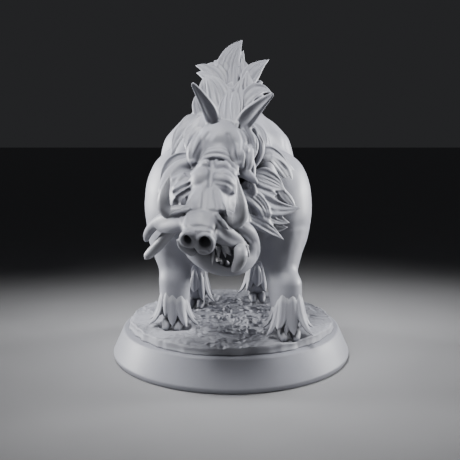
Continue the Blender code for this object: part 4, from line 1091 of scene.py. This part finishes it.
TUSKS = {
    "tusk_upper_right": [
        (-2.6, 6.8, 0.4, 0.8), (-4.3, 6.3, 0.3, 1.1), (-5.8, 6.0, 0.0, 1.2), (-6.8, 6.2, 0.9, 1.12),
        (-7.0, 7.0, 2.4, 0.98), (-6.9, 8.0, 3.5, 0.72), (-6.6, 8.9, 4.5, 0.4), (-6.4, 9.4, 5.2, 0.08),
    ],
    "tusk_upper_left": [
        (1.6, 6.6, 1.4, 0.9), (3.3, 6.2, 0.7, 1.25), (4.9, 6.0, 0.0, 1.38), (6.0, 6.2, 1.2, 1.22),
        (5.9, 7.0, 3.1, 0.95), (5.4, 8.0, 4.5, 0.65), (5.0, 8.9, 5.5, 0.32), (4.7, 9.4, 6.2, 0.06),
    ],
    "tusk_lower_right": [
        (-5.6, 7.8, -5.2, 1.0), (-6.9, 7.2, -7.2, 1.05), (-8.1, 6.6, -8.9, 1.0), (-9.3, 6.0, -10.3, 0.9),
        (-10.0, 5.6, -11.1, 0.72), (-10.3, 5.4, -11.5, 0.4),
    ],
    "tusk_lower_left": [
        (6.4, 4.0, -4.2, 1.0), (6.7, 2.6, -3.1, 1.1), (6.9, 1.8, -3.1, 1.15), (6.9, 1.2, -3.8, 1.1),
        (6.6, 0.8, -4.8, 0.95), (6.2, 0.7, -5.6, 0.7), (5.9, 0.7, -6.1, 0.38),
    ],
}
for node, rows in TUSKS.items():
    points, faces = horn(head_row(rows))
    place(node + "_ivory", points, faces, "resin_tusk", node)
    print(node, "tip", points[-1].round(1))

TEETH = [
    [(2.3, 1.8, -2.9, 0.3), (2.4, 1.0, -4.0, 0.2), (2.4, 0.7, -5.6, 0.03)],
    [(3.0, 2.4, -2.6, 0.42), (3.2, 1.8, -3.4, 0.34), (3.4, 1.4, -4.5, 0.04)],
    [(4.0, 3.0, -2.5, 0.62), (4.6, 2.2, -3.1, 0.5), (5.3, 1.8, -3.7, 0.04)],
    [(3.9, 2.9, -3.2, 0.5), (4.2, 2.3, -3.8, 0.34), (4.4, 2.0, -4.6, 0.04)],
    [(4.7, 2.6, -7.2, 0.4), (4.8, 2.0, -6.0, 0.36), (4.6, 1.7, -4.9, 0.03)],
    [(3.6, 2.2, -6.8, 0.36), (3.8, 1.6, -5.6, 0.3), (3.7, 1.3, -4.6, 0.03)],
    [(7.4, 4.6, -4.2, 0.42), (7.9, 3.8, -4.6, 0.3), (8.2, 3.3, -5.2, 0.04)],
]
points, faces, count = [], [], 0
for rows in TEETH:
    tooth_points, tooth_faces = horn(head_row(rows), 3, 16)
    points.append(tooth_points)
    faces.append(tooth_faces + count)
    count += len(tooth_points)
place("teeth", np.vstack(points), np.vstack(faces), "resin_tusk")
print(len(TEETH), "teeth")

# %% Eyes: small balls with a sunk pupil, deep under the brow
EYE_RADIUS = 0.62
EYE_DEEPER = np.array([0.0, 1.0, -1.3])
for node, look in (("eye_right", (-0.25, -0.9, 0.1)), ("eye_left", (0.35, -0.9, 0.1))):
    centre = middle_of(node) + HEAD_TURN @ EYE_DEEPER
    axis = HEAD_TURN @ np.array(look)
    axis /= np.linalg.norm(axis)
    rows, columns = ((36, 64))
    sideways = np.cross(axis, (0, 0, 1))
    sideways /= np.linalg.norm(sideways)
    above = np.cross(sideways, axis)
    theta = np.linspace(0, math.pi, rows + 1)[1:-1]
    phi = 2 * math.pi * np.arange(columns) / columns
    dent = 1 - 0.1 * np.exp(-((theta / 0.28) ** 4)) - 0.03 * np.exp(-(((theta - 0.62) / 0.1) ** 2))
    ring = sideways * np.cos(phi)[:, None] + above * np.sin(phi)[:, None]
    theta, dent = theta[:, None, None], dent[:, None, None]
    rings = (axis * np.cos(theta) + ring * np.sin(theta)) * dent
    points = np.vstack([rings.reshape(-1, 3), [axis * 0.9], [-axis]]) * EYE_RADIUS + centre
    place(node + "_ball", points, closed_rings(rows - 1, columns)[:, ::-1], "resin_eye", node)
    print(node, "centre", centre.round(1))


# %% [markdown]
# ## Hooves
#
# A boar stands on two split toes with two small dew claws behind.  They are modelled in clay as well, each
# foot in its own fine block, and cut off flat where they press into the mud.

# %% Hooves in fine clay
FOOT_STEP = 0.1
HOOF_WIDTH = 5.0  # the rows below are for a hoof of this width
PRESSED = 0.05  # the flat cut lies this far under the solid
TOES = [
    (0.8, 1.4, 2.6, 1.0),
    (1.0, 0.3, 1.8, 1.1),
    (1.15, -1.0, 1.1, 1.02),
    (1.1, -1.9, 0.5, 0.72),
]
DEW_CLAW = [(1.3, 2.0, 1.9, 0.5), (1.6, 2.6, 1.1, 0.42), (1.7, 3.0, 0.6, 0.18)]
for node in HOOVES:
    low, high = box_mm(node)
    middle = (low + high) / 2
    size = (high[0] - low[0]) / HOOF_WIDTH
    ground_level = low[2]
    yaw = math.radians(6.0 if node.endswith("left") else -8.0)
    turn = np.array([[math.cos(yaw), -math.sin(yaw)], [math.sin(yaw), math.cos(yaw)]])
    foot = Clay(middle - (4.2, 4.6, 2.2), middle + (4.2, 4.6, 3.6), FOOT_STEP)
    for x_side in (-1, 1):
        for row in (TOES, DEW_CLAW):
            rows = []
            for x, y, z, radius in row:
                flat = turn @ np.array([x_side * x, y]) * size
                at = (middle[0] + flat[0], middle[1] + flat[1], ground_level + z * size)
                rows.append((*at, radius * size))
            foot.add(tube(rows), 0.15)
            if row is TOES:
                for rise in (0.55, 1.0):
                    rim = [(x, y, z + rise * 0.5 * size) for x, y, z, _ in rows[1:]]
                    foot.stroke(rim, -0.06, 0.12)
    below = foot.low[2] + foot.step * np.arange(foot.shape[2]) - ground_level + PRESSED
    foot.field = np.maximum(foot.field, -below[None, None, :].astype(np.float32))
    points, faces = skinned(foot)
    place(node + "_claws", points, faces, "resin_hoof", node)
    print(node, len(points), "points")


# %% [markdown]
# ## Ground and rim
#
# The ground is a thin slab of trodden mud that was sculpted by hand: ruts and dabs in the middle, calmer
# towards a broken edge, and a low bank behind.  The rim below it is a plain turned cone with soft corners.

# %% Smooth noise on the plane
def noise(x, y, size, seed):
    """Smooth hills about one size across, between -1 and 1."""
    dice = np.random.default_rng(seed)
    grid = dice.uniform(-1, 1, (64, 64))
    x, y = x / size + 31.7, y / size + 17.3
    i, j = np.floor(x).astype(int), np.floor(y).astype(int)
    a, b = x - i, y - j
    a, b = a * a * (3 - 2 * a), b * b * (3 - 2 * b)
    near = grid[i % 64, j % 64] * (1 - a) + grid[(i + 1) % 64, j % 64] * a
    far = grid[i % 64, (j + 1) % 64] * (1 - a) + grid[(i + 1) % 64, (j + 1) % 64] * a
    return near * (1 - b) + far * b


GROUND_LOW, GROUND_HIGH = box_mm("ground")
GROUND_RADIUS = float(GROUND_HIGH[0] - GROUND_LOW[0]) / 2 - 0.3
GROUND_LEVEL = BASE_HEIGHT + 1.35
UNDERSIDE = BASE_HEIGHT + 0.02  # the slab lies this high
EDGE_CHIPS = 21  # radius at which the noise of the broken edge is taken
FEET = [middle_of(name) for name in HOOVES]


def ground_height(x, y):
    """Height of the mud in millimetres."""
    bend_x = x + 1.6 * noise(x, y, 3.4, 1) + 0.6 * noise(x, y, 1.2, 2)
    bend_y = y + 1.6 * noise(x, y, 3.4, 3) + 0.6 * noise(x, y, 1.2, 4)
    busy = 0.3 + 0.7 * np.exp(-((x / 11.5) ** 2 + ((y + 1.5) / 13.0) ** 2))
    # ruts and dabs, then smaller ones, and clods
    ridges = 1 - 2 * np.abs(noise(bend_x * 0.8, bend_y * 1.6, 2.7, 5))
    finer = 1 - 2 * np.abs(noise(bend_x * 0.9, bend_y * 1.9, 1.2, 6))
    clods = np.maximum(noise(bend_x, bend_y, 1.0, 8) - 0.25, 0)
    height = 0.22 * noise(x, y, 6.5, 7) + busy * (0.36 * ridges + 0.2 * finer + 0.45 * clods)
    # the low bank behind, and grit
    height = height + 1.15 * np.exp(-((x / 10.0) ** 2 + ((y - 18.5) / 3.6) ** 2))
    height = height + 0.05 * noise(x, y, 0.6, 9)
    # a print with a raised edge round each foot
    for hoof in FEET:
        away = np.hypot(x - hoof[0], (y - hoof[1] + 0.3) * 0.9)
        height = height - 0.32 * np.exp(-((away / 2.6) ** 4)) + 0.2 * np.exp(-(((away - 3.7) / 0.9) ** 2))
    return GROUND_LEVEL + height


# %% Ground
AROUND = 720
angle = 2 * math.pi * np.arange(AROUND) / AROUND
ring_x, ring_y = np.cos(angle), np.sin(angle)
edge_x, edge_y = ring_x * EDGE_CHIPS, ring_y * EDGE_CHIPS
chips = 0.36 * noise(edge_x, edge_y, 3.2, 11) + 0.12 * noise(edge_x, edge_y, 1.1, 12)
chips = chips - 0.25 * np.maximum(noise(edge_x, edge_y, 4.6, 13), 0) ** 2
edge = GROUND_RADIUS + chips
steps = np.linspace(0.004, 1, 190)
rows = []
for step in steps:
    x, y = ring_x * edge * step, ring_y * edge * step
    lip = 0.14 * math.exp(-(((step - 0.985) / 0.012) ** 2)) - 0.08 * max(0.0, (step - 0.994) / 0.006) ** 2
    rows.append(np.stack([x, y, ground_height(x, y) + lip], 1))
top_edge = rows[-1]
for share in (0.12, 0.3, 0.55, 0.8, 1.0):
    inward = 0.14 * math.sin(2.6 * share) - 0.3 * share + 0.05 * np.sin(7 * angle + 5 * share)
    out = 1 - inward / GROUND_RADIUS
    z = top_edge[:, 2] * (1 - share) + UNDERSIDE * share
    rows.append(np.stack([top_edge[:, 0] * out, top_edge[:, 1] * out, z], 1))
rows.append(np.stack([ring_x * 0.1, ring_y * 0.1, np.full(AROUND, UNDERSIDE)], 1))
centre = [0, 0, float(rows[0][:, 2].mean())]
points = np.vstack([*rows, [centre], [[0, 0, UNDERSIDE]]])
place("ground_mud", points, closed_rings(len(rows), AROUND)[:, ::-1], "resin_ground", "ground")
print("ground:", len(points), "points, edge from", edge.min().round(2), "to", edge.max().round(2))

# %% Rim
TOP_INSET = 2.05  # the top of the cone is this much narrower than its foot
TO_TABLE = 1.0154  # stretches the rounded foot down to the table
corner = 0.55  # radius of the corner at the top
foot = 1.1  # height of the rounded foot
profile = [(0.1, BASE_HEIGHT), (BASE_RADIUS - TOP_INSET - corner - 1.6, BASE_HEIGHT)]
for degrees in np.linspace(90, 14, 9):
    a = math.radians(degrees)
    radius = BASE_RADIUS - TOP_INSET - corner + corner * math.cos(a)
    profile.append((radius, BASE_HEIGHT - corner + corner * math.sin(a)))
start = profile[-1]
for share in np.linspace(0.06, 1, 24):
    profile.append((start[0] + (BASE_RADIUS - start[0]) * share, start[1] + (foot - start[1]) * share))
for degrees in np.linspace(0, -80, 10)[1:]:
    a = math.radians(degrees)
    profile.append((BASE_RADIUS - foot * 0.55 * (1 - math.cos(a)), foot + foot * math.sin(a) * TO_TABLE))
profile.append((0.1, 0.0))
wobble = 1 + 0.0004 * np.sin(3 * angle + 1.0)
rows = []
for radius, z in profile:
    x, y = ring_x * radius * wobble, ring_y * radius * wobble
    rows.append(np.stack([x, y, np.full(AROUND, max(z, 0.0))], 1))
points = np.vstack([*rows, [[0, 0, BASE_HEIGHT]], [[0, 0, 0.0]]])
place("base_turned", points, closed_rings(len(rows), AROUND)[:, ::-1], "resin_rim", "base_rim")
print("rim:", len(points), "points")

# %% [markdown]
# ## Resin
#
# One batch of matte grey resin everywhere, as it comes out of the mould: a cool grey with faint clouds where
# the filler settled, painted shade that darkens the hollows and creases, a painted highlight on thin edges,
# a fine grain with a few wider dimples, and a roughness that drifts with the clouds.  The same three effects
# are shared by all finishes, as node groups.

# %% Shared effects as node groups
def add_node(tree, kind, inputs, **settings):
    """Outputs of a new node, whose inputs get a value, or a link from the socket given."""
    made = tree.nodes.new("ShaderNode" + kind)
    for key, value in settings.items():
        setattr(made, key, value)
    for key, value in inputs.items():
        if isinstance(value, bpy.types.NodeSocket):
            tree.links.new(value, made.inputs[key])
        else:
            made.inputs[key].default_value = value
    return made.outputs


def calculated(tree, operation, *values):
    """The result of a Math node."""
    return add_node(tree, "Math", dict(enumerate(values)), operation=operation)[0]


def new_group(name, numbers, with_colour=False):
    """A node group that takes some numbers, and a colour where asked, with the sockets of its inputs."""
    group = bpy.data.node_groups.new(name, "ShaderNodeTree")
    if with_colour:
        group.interface.new_socket("Color", in_out="INPUT", socket_type="NodeSocketColor")
    for title, value in numbers.items():
        socket = group.interface.new_socket(title, in_out="INPUT", socket_type="NodeSocketFloat")
        socket.default_value = value
    return group, group.nodes.new("NodeGroupInput").outputs


def give_back(group, **results):
    """Lead sockets out of a group, as a colour or as numbers."""
    for title in results:
        kind = "NodeSocketColor" if title == "Color" else "NodeSocketFloat"
        group.interface.new_socket(title, in_out="OUTPUT", socket_type=kind)
    end = group.nodes.new("NodeGroupOutput")
    for title, socket in results.items():
        group.links.new(socket, end.inputs[title])
    return group


def reach_of_shade(group, distance, unhidden, hidden, inside=False):
    """How hidden a place is within a distance in millimetres, from 0 to 1; inside finds thin edges."""
    shade = add_node(group, "AmbientOcclusion", {"Distance": distance * MM}, samples=8, inside=inside)
    limits = {"From Min": unhidden, "From Max": hidden}
    return add_node(group, "MapRange", {"Value": shade["AO"], **limits}, clamp=True)["Result"]


def mixed(group, way, factor, below, above):
    """Two colours mixed in some way."""
    inputs = {"Factor": factor, "A": below, "B": above}
    return add_node(group, "Mix", inputs, data_type="RGBA", blend_type=way)["Result"]


def painted_shade_and_highlight():
    """Painted shade in the hollows and creases, and a painted highlight on thin edges."""
    group, given = new_group("painted_shade_and_highlight", {"Crease": 0.5, "Edge": 0.3}, with_colour=True)
    # painted shade: ambient occlusion finds the hollows (within 5 mm) and the creases (within 0.7 mm)
    hollow = reach_of_shade(group, 5.0, 0.8, 0.12)
    crease = reach_of_shade(group, 0.7, 0.75, 0.25)
    # painted highlight: occlusion from inside the resin finds thin edges
    edge = reach_of_shade(group, 0.3, 0.8, 0.3, inside=True)
    darker = calculated(group, "MULTIPLY", calculated(group, "MAXIMUM", crease, hollow), given["Crease"])
    lighter = calculated(group, "MULTIPLY", edge, given["Edge"])
    # painted shade: the colour is darkened towards near black in the hollows and creases
    shaded_colour = mixed(group, "MULTIPLY", darker, given["Color"], (0.05, 0.05, 0.06, 1))
    # painted highlight: the colour is lightened on thin edges
    return give_back(group, Color=mixed(group, "SCREEN", lighter, shaded_colour, (0.3, 0.3, 0.31, 1)))


def noise_height(group, scale, **details):
    """A noise over the piece."""
    places = add_node(group, "TexCoord", {})["Object"]
    return add_node(group, "TexNoise", {"Vector": places, "Scale": scale, **details})["Fac"]


def clouded_filler():
    """Faint clouds of lighter and darker filler in the resin."""
    group, given = new_group("clouded_filler", {"Amount": 0.1, "Scale": 90.0}, with_colour=True)
    clouds = noise_height(group, given["Scale"], Detail=5, Roughness=0.6)
    limits = {"From Min": 0.3, "From Max": 0.7, "To Min": -1.0}
    spread = add_node(group, "MapRange", {"Value": clouds, **limits})["Result"]
    share = calculated(group, "MULTIPLY_ADD", spread, given["Amount"], 1.0)
    tint = add_node(group, "VectorMath", {0: given["Color"], "Scale": share}, operation="SCALE")["Vector"]
    return give_back(group, Color=tint, Cloud=clouds)


def cast_grain():
    """Height of the fine grain and the few larger dimples of a cast surface."""
    group, given = new_group("cast_grain", {"Grain": 0.3, "Dimples": 0.3, "Scale": 3000.0})
    fine = noise_height(group, given["Scale"], Detail=3)
    wide = noise_height(group, calculated(group, "MULTIPLY", given["Scale"], 0.16), Detail=2)
    small = calculated(group, "MULTIPLY", fine, given["Grain"])
    return give_back(group, Height=calculated(group, "MULTIPLY_ADD", wide, given["Dimples"], small))


# the group of painted shade and painted highlight, the filler clouds and the grain
SHADE_AND_HIGHLIGHT, CLOUDS, GRAIN = painted_shade_and_highlight(), clouded_filler(), cast_grain()
print("shared effects:", SHADE_AND_HIGHLIGHT.name, CLOUDS.name, GRAIN.name)


# %% Finishes
ROUGH_DRIFT = 0.06  # how far the roughness drifts with the clouds


def finish(name, color, roughness, crease=0.6, edge=0.4, clouds=0.06, grain=0.3, dimples=0.4, depth=0.012):
    """A resin finish: colour, roughness with its own drift, and grain height in millimetres."""
    made = bpy.data.materials.new(name)
    made.use_nodes = True
    tree = made.node_tree
    filler = add_node(tree, "Group", {"Color": (*color, 1), "Amount": clouds}, node_tree=CLOUDS)
    # strengths of the painted shade in hollows and creases and of the painted highlight on thin edges
    shade_inputs = {"Color": filler["Color"], "Crease": crease, "Edge": edge}
    drift = {"From Min": 0.3, "From Max": 0.7}
    drift.update({"To Min": roughness - ROUGH_DRIFT, "To Max": roughness + ROUGH_DRIFT})
    height = add_node(tree, "Group", {"Grain": grain, "Dimples": dimples}, node_tree=GRAIN)["Height"]
    relief = {"Height": height, "Distance": depth * MM, "Strength": 0.35}
    shader = tree.nodes["Principled BSDF"].inputs
    for title, socket in (
        ("Base Color", add_node(tree, "Group", shade_inputs, node_tree=SHADE_AND_HIGHLIGHT)["Color"]),
        ("Roughness", add_node(tree, "MapRange", {"Value": filler["Cloud"], **drift})["Result"]),
        ("Normal", add_node(tree, "Bump", relief)["Normal"]),
    ):
        tree.links.new(socket, shader[title])
    return made


# crease sets how strongly painted shade darkens hollows and creases, edge how strongly a painted highlight
# lightens thin edges
FINISHES = {
    "resin_hide": finish("resin_hide", (0.3, 0.305, 0.345), 0.5, crease=0.85),
    "resin_hair": finish("resin_hair", (0.305, 0.31, 0.35), 0.5, crease=0.85, edge=0.5),
    "resin_tusk": finish("resin_tusk", (0.35, 0.355, 0.39), 0.42, crease=0.4, edge=0.3, grain=0.15),
    "resin_hoof": finish("resin_hoof", (0.27, 0.275, 0.31), 0.5),
    "resin_eye": finish("resin_eye", (0.25, 0.255, 0.285), 0.35, grain=0.1),
    "resin_ground": finish(
        "resin_ground", (0.34, 0.345, 0.382), 0.6, crease=0.3, edge=0.5, grain=0.4, dimples=0.6, depth=0.02
    ),
    "resin_rim": finish(
        "resin_rim", (0.31, 0.315, 0.355), 0.48, crease=0.3, edge=0.3, grain=0.2, dimples=0.2
    ),
}
for name, slot in PIECES.items():
    bpy.data.objects[name].data.materials.clear()
    bpy.data.objects[name].data.materials.append(FINISHES[slot])
print(len(FINISHES), "finishes on", len(PIECES), "pieces")


# %% [markdown]
# ## Stage
#
# A plain pale floor and soft studio lights.

# %% Floor, lights and camera
FLOOR_HALF = 3.0  # metres
floor_mesh = bpy.data.meshes.new("floor")
corners = [(-1, -1), (1, -1), (1, 1), (-1, 1)]
floor_mesh.from_pydata([(x * FLOOR_HALF, y * FLOOR_HALF, 0) for x, y in corners], [], [(0, 1, 2, 3)])
floor = bpy.data.objects.new("floor", floor_mesh)
bpy.context.scene.collection.objects.link(floor)
floor_mesh.materials.append(finish("pale_floor", (0.3, 0.3, 0.31), 0.7, 0, 0, 0.02, 0.2, 0.2, 0.02))

world = bpy.data.worlds.new("studio")
bpy.context.scene.world = world
world.use_nodes = True
world.node_tree.nodes["Background"].inputs["Color"].default_value = (0.55, 0.56, 0.6, 1)
world.node_tree.nodes["Background"].inputs["Strength"].default_value = 0.04


def soft_box(name, position, aim, size, power, spread):
    """A square area light that looks at a point; places and size in millimetres, power in watts."""
    light = bpy.data.lights.new(name, "AREA")
    light.size = size * MM
    light.energy = power
    light.spread = math.radians(spread)
    made = bpy.data.objects.new(name, light)
    bpy.context.scene.collection.objects.link(made)
    made.location = Vector(position) * MM
    made.rotation_euler = (Vector(aim) - Vector(position)).to_track_quat("-Z", "Y").to_euler()


soft_box("key", (-35, -70, 215), (0, -8, 34), 80, 0.037, 32)
soft_box("front", (-60, -220, 60), (0, 0, 32), 100, 0.003, 50)
soft_box("rim_left", (-180, 50, 70), (0, 0, 44), 80, 0.075, 34)
soft_box("rim_right", (180, 50, 70), (0, 0, 44), 80, 0.075, 34)

camera_data = bpy.data.cameras.new("camera")
camera_data.lens = 50
camera_data.sensor_width = 36
camera_data.clip_start = 0.001
camera = bpy.data.objects.new("camera", camera_data)
bpy.context.scene.collection.objects.link(camera)
CAMERA_AT = (-0.0096, -5.3316, 1.8123)  # in radii of the base
CAMERA_DOWN = 8.183  # degrees
camera.location = [share * BASE_RADIUS * MM for share in CAMERA_AT]
camera.rotation_euler = (math.radians(90 - CAMERA_DOWN), 0, 0)
bpy.context.scene.camera = camera
